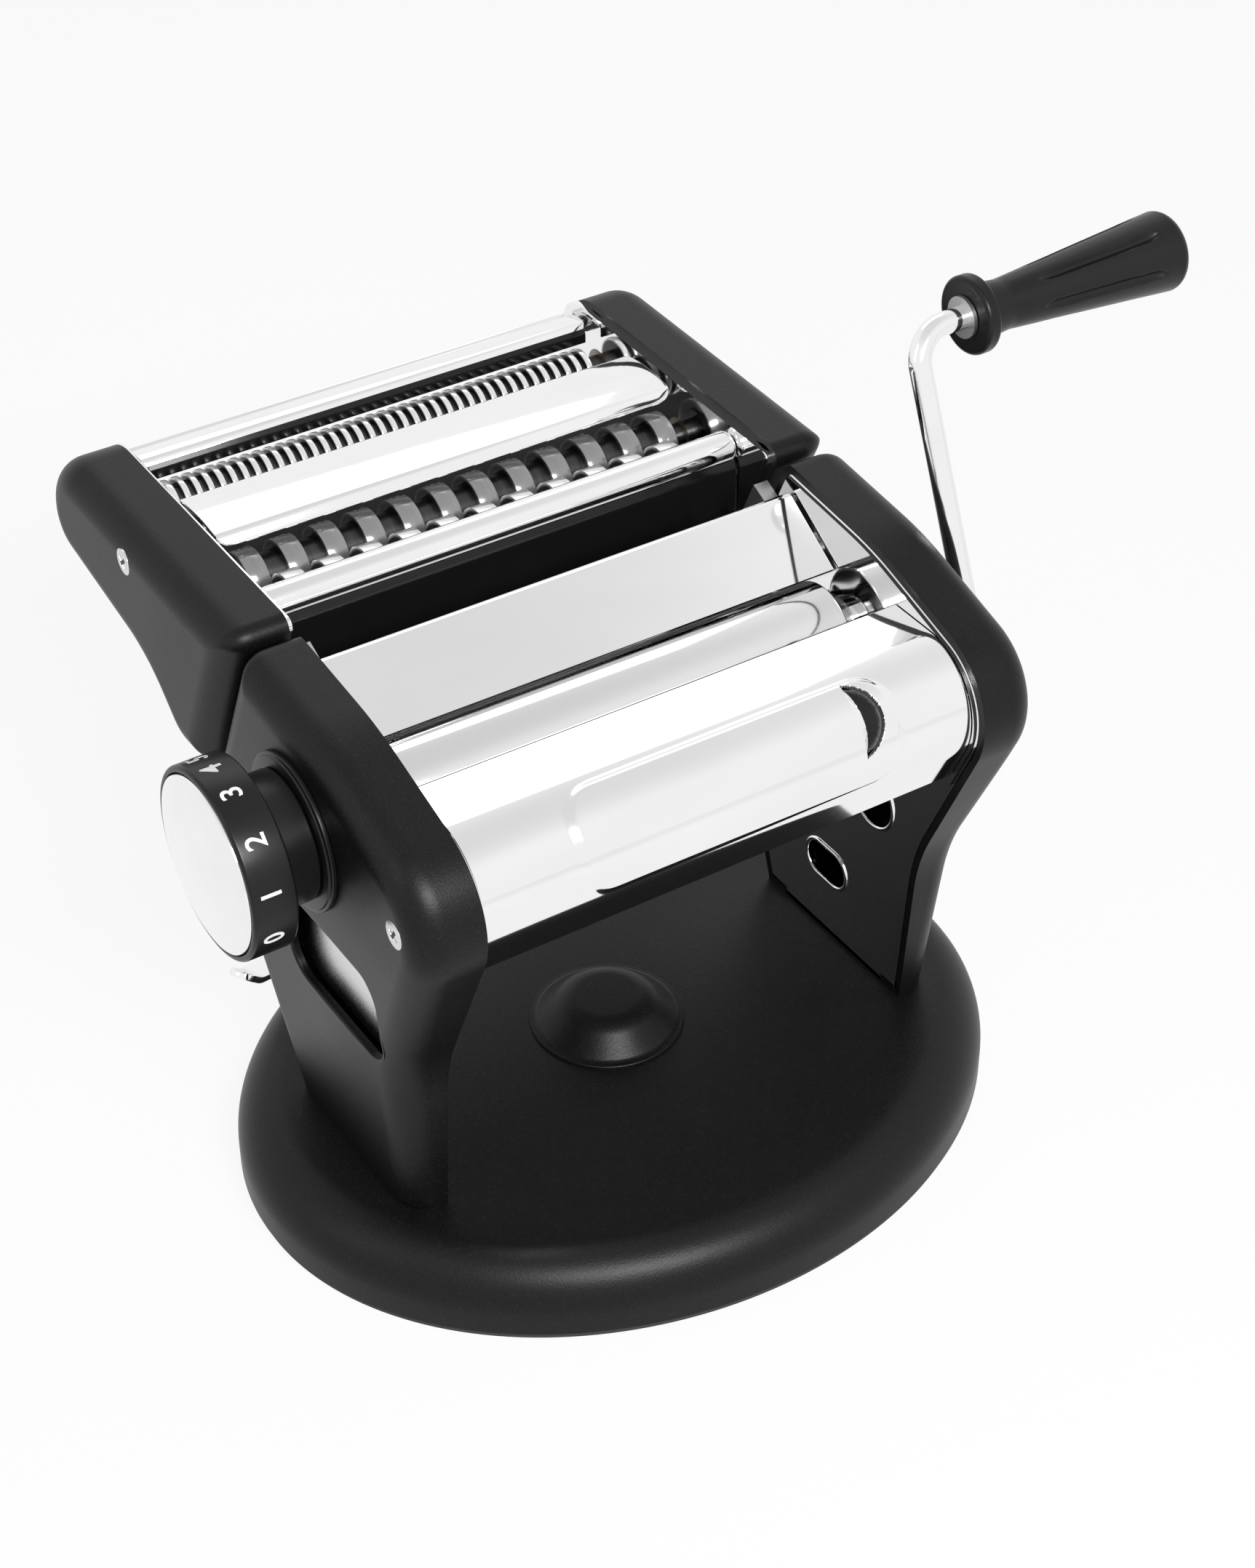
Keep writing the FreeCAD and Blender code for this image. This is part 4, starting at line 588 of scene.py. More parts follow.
# Corners of the outlines as (y, z, radius)
MACHINE_SIDE = [(32, 189, 4), (65, 118, 12), (33.66, 25, 0), (-37.92, 25, 0),
                (-42.5, 85, 70), (-78, 164.5, 26), (-12, 184.5, 110)]
CUTTER_SIDE = [(34.832, 190.5, 5), (159, 193, 19), (160, 160, 16), (98, 147, 40),
               (79, 129.5, 16), (63.184, 129.5, 6)]
CUTTER_MIDDLE = (96, 168)
WINDOW_MIDDLE = (-11, 103)
WINDOW_HALF_Y, WINDOW_HALF_Z, WINDOW_ROUND, WINDOW_LIP = 27, 16, 9, 0.9
PLATE_PAST_WINDOW, PLATE_EDGE = 1.6, 0.4
PLATE_OUTER, PLATE_INNER = 95.6, 94.2
# Holes in the side frames as (y, z, half width, half height, corner radius)
FRAME_HOLES = [(-19, 94, 10, 10, 10), (3, 53, 10.5, 6.5, 6.5)]
HOLE_RIM_NEAR, HOLE_RIM_FAR = 82.4, 85.4


def edge_distance(points, loop, floor):
    """The distance from points to the nearest side of an outline; sides on the floor don't count."""
    on_floor = 0.01
    start, stop = loop, np.roll(loop, -1, axis=0)
    raised = (start[:, 1] > floor + on_floor) | (stop[:, 1] > floor + on_floor)
    start, stop = start[raised], stop[raised]
    run = stop - start
    flat = points.reshape(-1, 2)
    share = np.einsum("ijk,jk->ij", flat[:, None] - start[None], run) / np.sum(run ** 2, axis=1)
    near = start[None] + np.clip(share, 0, 1)[..., None] * run[None]
    return np.linalg.norm(flat[:, None] - near, axis=-1).min(axis=1).reshape(points.shape[:-1])


def window_edge(loop, middle):
    """Where the spokes from an outline to the window's middle meet the window's edge."""
    hole = rounded_box(*middle, WINDOW_HALF_Y, WINDOW_HALF_Z, WINDOW_ROUND, 16)
    hole = even_line(hole, 1200)[:-1] - middle
    around = np.arctan2(hole[:, 1], hole[:, 0])
    order = np.argsort(around)
    spoke = loop - middle
    angle = np.arctan2(spoke[:, 1], spoke[:, 0])
    radius = np.interp(angle, around[order], np.linalg.norm(hole, axis=1)[order], period=TURN)
    return middle + toward(angle) * radius[:, None]


def side_cover(corners, side, lean, middle, window=False):
    """A hollow side cover. Each point of the outline runs in on a straight spoke to a middle point or to a
    window's edge, which is rounded over. At a distance d from the outline the face stands at
    x = face - r + sqrt(r^2 - (r - d)^2), and flat beyond r; the inner skin is one wall lower."""
    points_round, rim_steps, face_steps = 480, 14, 32
    least_square, most_of_spoke = 0.35, 0.85
    loop = even_line(rounded_line(corners, True, 40), points_round + 1)[:-1]
    floor = loop[:, 1].min() if lean else -math.inf
    area = np.sum(loop[:, 0] * np.roll(loop[:, 1], -1) - np.roll(loop[:, 0], -1) * loop[:, 1])
    normal = left_of(way_round(loop)) * math.copysign(1, area)

    def height(points):
        drop = LEAN_START - points[..., 1]
        face = COVER_FACE - (lean / LEAN_REACH) * 0.5 * (drop + np.sqrt(drop ** 2 + LEAN_SOFT ** 2))
        depth = np.minimum(edge_distance(points, loop, floor), RIM_ROUND)
        return face - RIM_ROUND + np.sqrt(RIM_ROUND ** 2 - (RIM_ROUND - depth) ** 2)

    middle = np.asarray(middle, float)
    goal = window_edge(loop, middle) if window else np.broadcast_to(middle, loop.shape)
    length = np.linalg.norm(goal - loop, axis=1)
    spoke = (goal - loop) / length[:, None]
    square = np.clip(np.sum(spoke * normal, axis=1), least_square, 1)
    depth = RIM_ROUND * (1 - np.cos(np.linspace(0, QUARTER, rim_steps + 1)))
    reach = depth[:, None] / np.maximum(square, RIM_ROUND / (most_of_spoke * length))[None]
    rim = loop[None] + spoke[None] * reach[..., None]
    share = np.linspace(0, 1, face_steps + 1)[1:, None, None]
    plan = np.concatenate([rim, rim[-1][None] * (1 - share) + goal[None] * share])
    outer = with_third(plan, height(plan)[..., None])
    inner_plan = plan[depth.searchsorted(COVER_WALL):][::-1]
    inner_height = np.maximum(height(inner_plan) - COVER_WALL, INNER_HALF + 1)
    inner = with_third(inner_plan, inner_height[..., None])
    if window:
        inwards = unit(middle - goal)[None]
        curl = np.linspace(0, QUARTER, 5)[1:, None, None]
        lip = with_third(goal - inwards * WINDOW_LIP * (1 - np.sin(curl)),
                         outer[-1, :, 2:] - WINDOW_LIP * (1 - np.cos(curl)))
        outer[-1, :, :2] = goal - inwards[0] * WINDOW_LIP
        outer = np.concatenate([outer, lip])
    wall_foot = with_third(loop, INNER_HALF)[None]
    rim_foot = with_third(loop + spoke * (COVER_WALL / square)[:, None], INNER_HALF)[None]
    grid = np.concatenate([wall_foot, outer, inner, rim_foot, wall_foot])
    return welded(stood_on_side(np.concatenate([grid, grid[:, :1]], axis=1), side))


def window_plate():
    """The bright plate behind the window: a flat sheet with rounded corners, closed from its middle round
    its edge."""
    loop = rounded_box(*WINDOW_MIDDLE, WINDOW_HALF_Y + PLATE_PAST_WINDOW,
                       WINDOW_HALF_Z + PLATE_PAST_WINDOW, WINDOW_ROUND, 8)
    middle = np.broadcast_to(loop[:-1].mean(axis=0), loop.shape)
    inset = loop + PLATE_EDGE * unit(middle - loop)
    rows = np.stack([middle, inset, loop, loop, inset, middle])
    depth = np.array([PLATE_OUTER, PLATE_OUTER, PLATE_OUTER - PLATE_EDGE, PLATE_INNER + PLATE_EDGE,
                      PLATE_INNER, PLATE_INNER])
    return welded(stood_on_side(with_third(rows, depth[:, None, None]), -1))


def hole_rim(hole, side):
    """The bright turned-over edge of a hole in a side frame: a small rounded section of (reach, distance
    from the middle) carried round the hole."""
    inner, outer, near_round, far_round = -0.9, 0.6, 0.6, 0.5
    loop = even_line(rounded_box(*hole, 24), 145)
    loop[-1] = loop[0]
    normal = -left_of(way_round(loop[:-1]))
    normal = np.concatenate([normal, normal[:1]])
    section = rounded_line([(inner, HOLE_RIM_NEAR, near_round), (outer, HOLE_RIM_NEAR, near_round),
                            (outer, HOLE_RIM_FAR, far_round), (inner, HOLE_RIM_FAR, far_round)], True, 4)
    return welded(stood_on_side(carried_round(loop, normal, section), side))


def put_covers():
    sides = {"left": -1, "right": 1}
    for name, side in sides.items():
        cover = side_cover(MACHINE_SIDE, side, LEAN, WINDOW_MIDDLE, window=name == "left")
        piece("%s_cover_shell" % name, [cover], "frame", "coat", ["%s_side_cover" % name])
    for name, side in sides.items():
        cover = side_cover(CUTTER_SIDE, side, 0, CUTTER_MIDDLE)
        piece("cutter_%s_shell" % name, [cover], "cutter", "coat", ["cutter_%s_cover" % name])
    rims = [hole_rim(hole, side) for side in (-1, 1) for hole in FRAME_HOLES]
    piece("frame_hole_rims", rims, "frame", "chrome")
    piece("window_plate", [window_plate()], "frame", "chrome", finish=SATIN_PLATE)


# Front shell

SHEET = 1.4
# The front's line: a flat top edge, a round nose and a straight tail
NOSE_Y, NOSE_Z, NOSE_ROUND = -42, 149, 22
NOSE_TOP, NOSE_TAIL, NOSE_ARC = 16, 13, math.radians(115)
NOSE_RUN = NOSE_TOP + NOSE_ROUND * NOSE_ARC + NOSE_TAIL
SHELL_HALF = 81.2
# The raised field, by its middle and half sizes along X and along the nose
FIELD_X, FIELD_MIDDLE, FIELD_HALF_X, FIELD_HALF = 3.5, 38.8, 53, 16.2
FIELD_RISE, FIELD_ROUND, FIELD_STEP = 0.8, 10, 2.6
MOON_LEFT, MOON_MIDDLE, MOON_HALF, MOON_BULGE, MOON_RIDGE = 44, 34.4, 11.2, 8.4, 0.27


def on_nose(x, along, rise):
    """Points of the front: a flat top edge, a round nose and a straight tail as one line, at a place
    along X, a distance along the line and a rise out of it."""
    angle = QUARTER + np.clip((along - NOSE_TOP) / NOSE_ROUND, 0, NOSE_ARC)
    straight = np.minimum(along - NOSE_TOP, 0) + np.maximum(along - NOSE_RUN + NOSE_TAIL, 0)
    far = NOSE_ROUND + rise
    y = NOSE_Y + np.cos(angle) * far - np.sin(angle) * straight
    z = NOSE_Z + np.sin(angle) * far + np.cos(angle) * straight
    return np.stack([np.broadcast_to(x, y.shape), y, z], -1)


def moon_edge(along):
    """The half moon's round right edge, and the ridge that divides it, at a distance along the nose."""
    radius = (MOON_BULGE ** 2 + MOON_HALF ** 2) / (2 * MOON_BULGE)
    rest = np.maximum(radius ** 2 - (along - MOON_MIDDLE) ** 2, 0)
    right = MOON_LEFT + np.sqrt(rest) - (radius - MOON_BULGE)
    return right, MOON_LEFT + MOON_RIDGE * (right - MOON_LEFT)


def places(*stretches):
    """Places in a row, from stretches of (start, stop, count) that follow each other."""
    rows = [np.linspace(*stretch) for stretch in stretches]
    return np.concatenate(rows[:1] + [row[1:] for row in rows[1:]])


def front_shell():
    """The chrome front sheet: a rounded field stands out by a soft step, and a half moon is pressed in, with
    a facet that slopes to a ridge and a pocket beyond it."""
    facet_depth, pocket_depth, pocket_slope, wall_slope, least_facet = 1, 2.6, 0.5, 0.6, 0.2
    along = places((0, 21.5, 28), (21.5, 46.5, 84), (46.5, NOSE_RUN, 40))[:, None]
    x = places((-SHELL_HALF, 42, 150), (42, 54, 61), (54, SHELL_HALF, 36))[None]
    beyond_x = np.abs(x - FIELD_X) - (FIELD_HALF_X - FIELD_ROUND) + 0 * along
    beyond = np.abs(along - FIELD_MIDDLE) - (FIELD_HALF - FIELD_ROUND) + 0 * x
    edge = np.hypot(np.maximum(beyond_x, 0), np.maximum(beyond, 0))
    edge = edge + np.minimum(np.maximum(beyond_x, beyond), 0) - FIELD_ROUND
    step = np.clip(0.5 - edge / FIELD_STEP, 0, 1)
    rise = FIELD_RISE * step ** 2 * (3 - 2 * step)
    right, ridge = moon_edge(along)
    facet = np.clip((x - MOON_LEFT) / np.maximum(ridge - MOON_LEFT, least_facet), 0, 1)
    pocket = np.clip((x - ridge) / pocket_slope, 0, 1)
    wall = np.clip((right - x) / wall_slope, 0, 1)
    rise = rise - (facet_depth * facet + pocket_depth * pocket) * wall
    outer, inner = on_nose(x, along, rise), on_nose(x, along, rise - SHEET)
    loop = np.concatenate([outer, inner[:, ::-1], outer[:, :1]], axis=1)
    return welded(loop, np.stack([outer[0], inner[0]]), np.stack([outer[-1], inner[-1]]))


def painted_slot_shade():
    """Painted shade in the half moon's opening: a thin black lens between the ridge and the round edge, whose
    width and depth fall with 1 - s^2 towards its tips."""
    tip_room, edge_room, ridge_room, sunk, depth = 0.5, 0.4, 0.15, 1.5, 0.8
    share = np.linspace(-1, 1, 61)[:, None]
    along = MOON_MIDDLE + (MOON_HALF - tip_room) * share
    right, ridge = moon_edge(along)
    taper = 1 - share ** 2
    width = np.maximum(right - ridge - edge_room, 0) * np.minimum(1, 4 * taper)
    x = ridge + ridge_room + width * np.linspace(0, 1, 13)[None]
    top = on_nose(x, along + 0 * x, FIELD_RISE - sunk + 0 * x)
    under = on_nose(x, along + 0 * x, FIELD_RISE - sunk - depth * taper + 0 * x)
    return welded(np.concatenate([top, under[:, ::-1], top[:, :1]], axis=1))


# Hopper, guides and rollers

HOPPER_HALF = 80.6
GUIDE_HALF, GUIDE_CORNER = 79.2, 5
APRON_HALF, APRON_SHEET = 80.4, 1.2
# painted shade: a thin black strip below the rear guide's front edge stands for the shade and dark reflection
# there
SHADE_STRIP_HALF, SHADE_STRIP_SHEET = 78, 0.8
# Lines of the sheets as (y, z, radius)
HOPPER_LINE = [(3.5, 167.3, 0), (28, 182.5, 2.6), (31, 176.5, 0)]
APRON_LINE = [(57.2, 179.5, 0), (55.6, 176, 3), (55.6, 150, 0)]
MID_GUIDE_LINE = [(88.5, 184.6, 0), (91.2, 187.5, 2.2), (103.25, 189.3, 60), (115.3, 187.5, 2.2),
                  (118, 184.6, 0)]
REAR_GUIDE_LINE = [(138.5, 184.6, 0), (141.2, 187.5, 2.2), (149.5, 188.2, 12), (153.9, 182.5, 5),
                   (154, 176, 0)]
REAR_SHADE_STRIP_LINE = [(139.6, 186, 0), (138.6, 184.6, 1), (138.6, 181.6, 0)]
# The bar in front of the wide cutter
GUIDE_BAR_LINE = (0, 59.5, 182)
GUIDE_BAR = [(-81, 0, 0), (-81, 5, 2.4), (81, 5, 2.4), (81, 0, 0)]
ROLLER_HALF, ROLLER_RADIUS, JOURNAL_RADIUS, JOURNAL_LEFT = 75, 15.5, 6, -88.3
JOURNAL_RIGHT = {"front_roller": 98.2, "rear_roller": 93.5}


def put_sheets():
    piece("front_shell_sheet", [front_shell()], "frame", "chrome", ["front_shell"], crease=40)
    # painted shade: a black lens standing for the shade inside the half moon's opening
    piece("painted_slot_shade", [painted_slot_shade()], "frame", "coat")
    hopper = strip(below(rounded_line(HOPPER_LINE, steps=12), SHEET / 2), HOPPER_HALF, SHEET)
    piece("hopper_sheet", [hopper], "frame", "chrome", ["hopper_plate"])
    apron = strip(rounded_line(APRON_LINE, steps=8), APRON_HALF, APRON_SHEET)
    piece("cutter_apron", [apron], "cutter", "coat", finish=BLACK_GLOSS)
    for name, line in (("mid", MID_GUIDE_LINE), ("rear", REAR_GUIDE_LINE)):
        guide = strip(below(rounded_line(line, steps=14), SHEET / 2), GUIDE_HALF, SHEET, GUIDE_CORNER)
        piece("%s_guide_sheet" % name, [guide], "cutter", "chrome", ["cutter_%s_guide" % name])
    # painted shade: a black gloss strip under the rear guide's front edge
    lip = strip(rounded_line(REAR_SHADE_STRIP_LINE, steps=6), SHADE_STRIP_HALF, SHADE_STRIP_SHEET)
    piece("rear_guide_shade_strip", [lip], "cutter", "coat", finish=BLACK_GLOSS)
    guide_bar = turned(GUIDE_BAR, 6, GUIDE_BAR_LINE)
    piece("front_guide_bar", [guide_bar], "cutter", "chrome", ["cutter_front_bar"])


def put_rollers():
    for name, right in JOURNAL_RIGHT.items():
        profile = [(JOURNAL_LEFT, 0, 0), (JOURNAL_LEFT, JOURNAL_RADIUS, 0.5),
                   (-ROLLER_HALF, JOURNAL_RADIUS, 0.6), (-ROLLER_HALF, ROLLER_RADIUS, 1),
                   (ROLLER_HALF, ROLLER_RADIUS, 1), (ROLLER_HALF, JOURNAL_RADIUS, 0.6),
                   (right, JOURNAL_RADIUS, 0.5), (right, 0, 0)]
        bar = turned(profile, 5, axle(name), 160)
        piece(name + "_bar", [bar], name, "chrome", [name], ROLLER_STEEL)


# Cutter rollers

CUTTER_LEFT, CUTTER_JOURNAL = -85, 4
# Right ends as (x, radius): the rear rollers are plain, and the front ones take the crank in a socket
CUTTER_ENDS = {
    "front": [(90.7, 4), (90.7, 6), (102.6, 6), (103, 5.6), (103, 3.7), (94, 3.7), (94, 0)],
    "rear": [(90.7, 4), (90.7, 0)]}
# The rings of the rear roller stand in the gaps of the front roller's
RING_PHASE = {"front": 0, "rear": 0.5}
# Rings as (pitch, crest width, root width, crest radius, root radius), steps of a turn and brightness
# painted shade: the wide rear roller's rings are the same metal as the others, coloured darker at 0.3
CUTTERS = {"wide": ((13, 6.1, 6.1, 10, 7), 96, {"front": 0.84, "rear": 0.3}),
           "fine": ((4, 1.5, 1.9, 8, 6), 72, {"front": 0.84, "rear": 0.84})}


def ringed_profile(pitch, crest, root, high, low, phase, right):
    """Rings along a shaft: six corners for each ring, at even pitch, worked out as one array."""
    soft = 0.15
    count = int(ROLLER_HALF / pitch) + 1
    middle = (np.arange(-count, count + 1) + phase) * pitch
    middle = middle[np.abs(middle) + root / 2 <= ROLLER_HALF]
    steps = np.array([(-root / 2, low), (-crest / 2 - soft, high - soft), (-crest / 2 + soft, high),
                      (crest / 2 - soft, high), (crest / 2 + soft, high - soft), (root / 2, low)])
    radius = np.broadcast_to(steps[None, :, 1], (len(middle), len(steps)))
    rings = np.stack([middle[:, None] + steps[None, :, 0], radius], -1).reshape(-1, 2)
    left = [(CUTTER_LEFT, 0), (CUTTER_LEFT, CUTTER_JOURNAL), (-ROLLER_HALF, CUTTER_JOURNAL),
            (-ROLLER_HALF, low)]
    return np.concatenate([left, rings, [(ROLLER_HALF, low), (ROLLER_HALF, CUTTER_JOURNAL)], right])


def put_cutters():
    for width, (rings, turns, brightness) in CUTTERS.items():
        high, low = rings[3:]
        for end, level in brightness.items():
            body = "%s_%s" % (width, end)
            profile = ringed_profile(*rings, RING_PHASE[end], CUTTER_ENDS[end])
            metal = ringed_metal("%s_cutter_metal_%s" % (width, end), axle(body), low, high, level)
            piece("%s_rings_%s" % (width, end), [welded(lathe(profile, axle(body), turns))], body,
                  "cutter_metal", ["%s_cutter_%s" % (width, end)], metal)


# Crank

CRANK_LEAN = math.radians(23.2)
ROD_RADIUS, ROD_BREAK = 3.6, 0.5
# The rod's line as (x, distance from the crank's axle, radius)
ROD_LINE = [(95.3, 0, 0), (116, 0, 11), (116, 104, 11), (203, 104, 0)]
GRIP_START, GRIP_END, GRIP_BORE, GRIP_BORE_END = 135, 213, 3.65, 203.3
# The grip's outline as (x, radius, rounding)
GRIP_LINE = [(GRIP_START, GRIP_BORE, 0), (GRIP_START, 12.2, 1.2), (139.5, 12.2, 1.4), (140.6, 8.6, 2),
             (148.5, 7.8, 12), (210, 12.6, 3), (GRIP_END, 12.8, 3.2), (GRIP_END, 0, 0)]
FLUTES, FLUTE_MIDDLE, FLUTE_HALF, FLUTE_WIDTH, FLUTE_DEPTH, FLUTED_FROM = 6, 181.5, 22.5, 1.6, 1.5, 8


def crank_rod():
    """A round bar with broken edges, carried along a line with two bends in the plane of X and the crank's
    lean."""
    line = rounded_line(ROD_LINE, steps=18)
    way = way_of(line)
    along_x = np.array([1, 0, 0])
    lean = np.array([0, math.sin(CRANK_LEAN), math.cos(CRANK_LEAN)])
    centre = np.array(axle("crank")) + line[:, :1] * along_x + line[:, 1:] * lean
    normal = -way[:, 1:] * along_x + way[:, :1] * lean
    ends = [0, 0] + list(range(len(line))) + [-1, -1]
    radius = np.full(len(ends), ROD_RADIUS)
    radius[[0, -1]] = 0
    radius[[1, -2]] = ROD_RADIUS - ROD_BREAK
    slide = np.zeros((len(ends), 1))
    slide[2], slide[-3] = ROD_BREAK, -ROD_BREAK
    side = np.broadcast_to(np.cross(along_x, lean), (len(ends), 3))
    return round_wire(centre[ends] + slide * along_x, radius, normal[ends], side, 32)


def crank_grip():
    """The grip: an outline turned about the crank's tip. Within the half width w of each flute's line the
    radius falls by depth * (1 - (a / w)^2), and w closes towards the flute's ends."""
    tip = axle("grip")
    outline = rounded_line(GRIP_LINE, steps=8)
    run = run_of(outline)
    at = np.unique(np.concatenate([run, np.linspace(0, run[-1], 150)]))
    x = np.interp(at, run, outline[:, 0])
    radius = np.interp(at, run, outline[:, 1])[:, None]
    angle = full_turn(192)
    half_pitch = TURN / (2 * FLUTES)
    off = np.abs((angle + half_pitch) % (2 * half_pitch) - half_pitch)
    end = np.clip(1 - ((x - FLUTE_MIDDLE) / FLUTE_HALF) ** 8, 0, 1)[:, None]
    width = FLUTE_WIDTH * np.sqrt(end)
    groove = 1 - (radius * off[None] / np.maximum(width, TINY)) ** 2
    groove = np.where(radius > FLUTED_FROM, np.clip(groove, 0, 1) * end, 0)
    depth = radius - FLUTE_DEPTH * groove
    grid = np.stack([np.broadcast_to(x[:, None], depth.shape), tip[1] + depth * np.cos(angle),
                     tip[2] + depth * np.sin(angle)], -1)
    bore = [(GRIP_START, GRIP_BORE), (GRIP_BORE_END, GRIP_BORE), (GRIP_BORE_END, 0)]
    return welded(grid, lathe(bore, tip, 192))


def put_crank():
    piece("bent_crank_rod", [crank_rod()], "crank", "chrome", ["crank_rod"])
    piece("fluted_grip", [crank_grip()], "grip", "plastic", ["crank_grip"])


# Dial

DIAL_LINE = axle("dial_cam")
DIAL_BORE, BAND_RADIUS, BAND_MIDDLE = 5.2, 28.6, -125.6
# Profiles as (x, radius, rounding)
COLLAR_PROFILE = [(-101.5, DIAL_BORE, 0), (-101.5, 11, 0.2), (-104, 11, 0.2), (-104, 23.8, 0.2),
                  (-105.5, 23.8, 0.5), (-105.5, 22.9, 0.3), (-106.2, 22.6, 0.4), (-106.2, DIAL_BORE, 0.2),
                  (-101.5, DIAL_BORE, 0)]
KNOB_PROFILE = [(-106.5, DIAL_BORE, 0), (-106.5, 19.5, 0.6), (-117.2, 19.5, 1.6), (-118, BAND_RADIUS, 0.9),
                (-131.5, BAND_RADIUS, 1.2), (-131.5, 26.7, 0.3), (-129.4, 26.5, 0.2), (-129.4, 8.5, 0.2),
                (-112.5, 8.5, 0.3), (-112.5, DIAL_BORE, 0.2), (-106.5, DIAL_BORE, 0)]
FACE_TOP, FACE_DROP, FACE_RADIUS = -134.7, 2.6, 25.6
FACE_RIM = [(-131.9, 26.1), (-131.4, 26.35), (-129.5, 26.35), (-129.5, 0)]
# Where each number stands round the band, in degrees
NUMBER_PLACES = {"0": 199, "1": 167.5, "2": 137, "3": 106.5, "4": 84, "5": 64}
NUMBER_SIZE, INK_THICKNESS, STROKE_SWELL = 8.6, 0.12, 0.1
SPRING_START, SPRING_LENGTH, SPRING_SEAT = -113.6, 9.9, -124.5
SPRING_RADIUS, SPRING_WIRE, SPRING_TURNS = 6.6, 0.75, 5


def dial_face():
    """The dial's chrome cap: a dome that falls with the radius to a power of 2.4, and a rounded rim."""
    share = np.linspace(0, 1, 40)
    dome = np.stack([FACE_TOP + FACE_DROP * share ** 2.4, FACE_RADIUS * share], -1)
    return welded(lathe(np.concatenate([dome, FACE_RIM]), DIAL_LINE, 160))


def flat_number(text):
    """A number as a flat mesh about its own middle: its points and its triangles."""
    curve = bpy.data.curves.new("digit", "FONT")
    curve.body = text
    curve.size = NUMBER_SIZE
    curve.align_x = "CENTER"
    curve.align_y = "CENTER"
    curve.extrude = INK_THICKNESS
    curve.offset = STROKE_SWELL
    curve.resolution_u = 6
    writer = placed("digit", curve)
    bpy.context.view_layer.update()
    mesh = bpy.data.meshes.new_from_object(writer)
    mesh.calc_loop_triangles()
    points = np.empty(3 * len(mesh.vertices), np.float32)
    mesh.vertices.foreach_get("co", points)
    corners = np.empty(3 * len(mesh.loop_triangles), np.int32)
    mesh.loop_triangles.foreach_get("vertices", corners)
    bpy.data.objects.remove(writer)
    bpy.data.meshes.remove(mesh)
    points = points.reshape(-1, 3).astype(float)
    points[:, :2] -= (points[:, :2].min(axis=0) + points[:, :2].max(axis=0)) / 2
    return points, corners.reshape(-1, 3)


def dial_numbers():
    """The numbers round the dial: each is bent round the band, its width as an angle and its thickness as a
    radius."""
    skins = []
    for text, degrees in NUMBER_PLACES.items():
        flat, triangles = flat_number(text)
        angle = math.radians(degrees) - flat[:, 0] / BAND_RADIUS
        radius = BAND_RADIUS + flat[:, 2]
        points, same = merged(np.stack([BAND_MIDDLE - flat[:, 1], DIAL_LINE[1] + radius * np.cos(angle),
                                        DIAL_LINE[2] + radius * np.sin(angle)], -1))
        skins.append(outward(points, np.empty((0, 4), int), same[triangles]))
    return skins


def dial_spring_coil():
    """The dial's spring: a round wire carried along a helix, closed at both ends."""
    share = np.concatenate([[0], np.linspace(0, 1, 32 * SPRING_TURNS + 1), [1]])
    angle = TURN * SPRING_TURNS * share
    none = np.zeros(len(share))
    radial = np.stack([none, np.cos(angle), np.sin(angle)], -1)
    line = np.stack([SPRING_START - SPRING_LENGTH * share, none + DIAL_LINE[1], none + DIAL_LINE[2]], -1)
    climb = -SPRING_LENGTH / (TURN * SPRING_TURNS)
    way = unit(np.stack([none + climb, -SPRING_RADIUS * np.sin(angle), SPRING_RADIUS * np.cos(angle)], -1))
    radius = np.full(len(share), SPRING_WIRE)
    radius[[0, -1]] = 0
    return round_wire(line + SPRING_RADIUS * radial, radius, radial, np.cross(way, radial), 12)


def put_dial():
    collar = turned(COLLAR_PROFILE, 4, DIAL_LINE, 128)
    piece("dial_collar_ring", [collar], "frame", "plastic", ["dial_collar"])
    knob = turned(KNOB_PROFILE, 6, DIAL_LINE, 160)
    piece("dial_knob_body", [knob], "dial", "plastic", ["dial_knob"])
    piece("dial_face", [dial_face()], "dial", "chrome", ["dial_cap"])
    piece("dial_numbers", dial_numbers(), "dial", "plastic", finish=INK, crease=25)
    coil = piece("dial_spring_coil", [dial_spring_coil()], "dial_cam", "steel", ["dial_spring"])
    seat = (SPRING_SEAT * MM, DIAL_LINE[1] * MM, DIAL_LINE[2] * MM)
    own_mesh(coil)


# Screws

SCREW_HEAD, SCREW_RISE, SCREW_DOME = 4.2, 0.3, 0.35
CROSS_HALF, CROSS_REACH, CROSS_DEPTH, CROSS_WALL, CROSS_END = 0.62, 2.35, 1, 0.16, 0.5
# Below the face as (height, radius)
SCREW_BODY = [(SCREW_RISE - SCREW_DOME, SCREW_HEAD), (-1.2, SCREW_HEAD), (-1.6, SCREW_HEAD - 0.4),
              (-1.6, 2), (-8.6, 2), (-9, 1.6), (-9, 0)]
# Places of the screws, and the direction of one arm of the cross in each
COVER_SCREW, COVER_CROSS = (-55, 151), (0, 0.83, 0.56)
CUTTER_SCREW, CUTTER_CROSS = (103, 181), (0, 0.64, 0.77)
LEG_SCREW_X, LEG_SCREW_YS, LEG_SCREW_Z = 89, (-18, 16), BASE_TOP - BASE_WALL - 1.6
LEG_CROSS = (0.9, 0.43, 0)


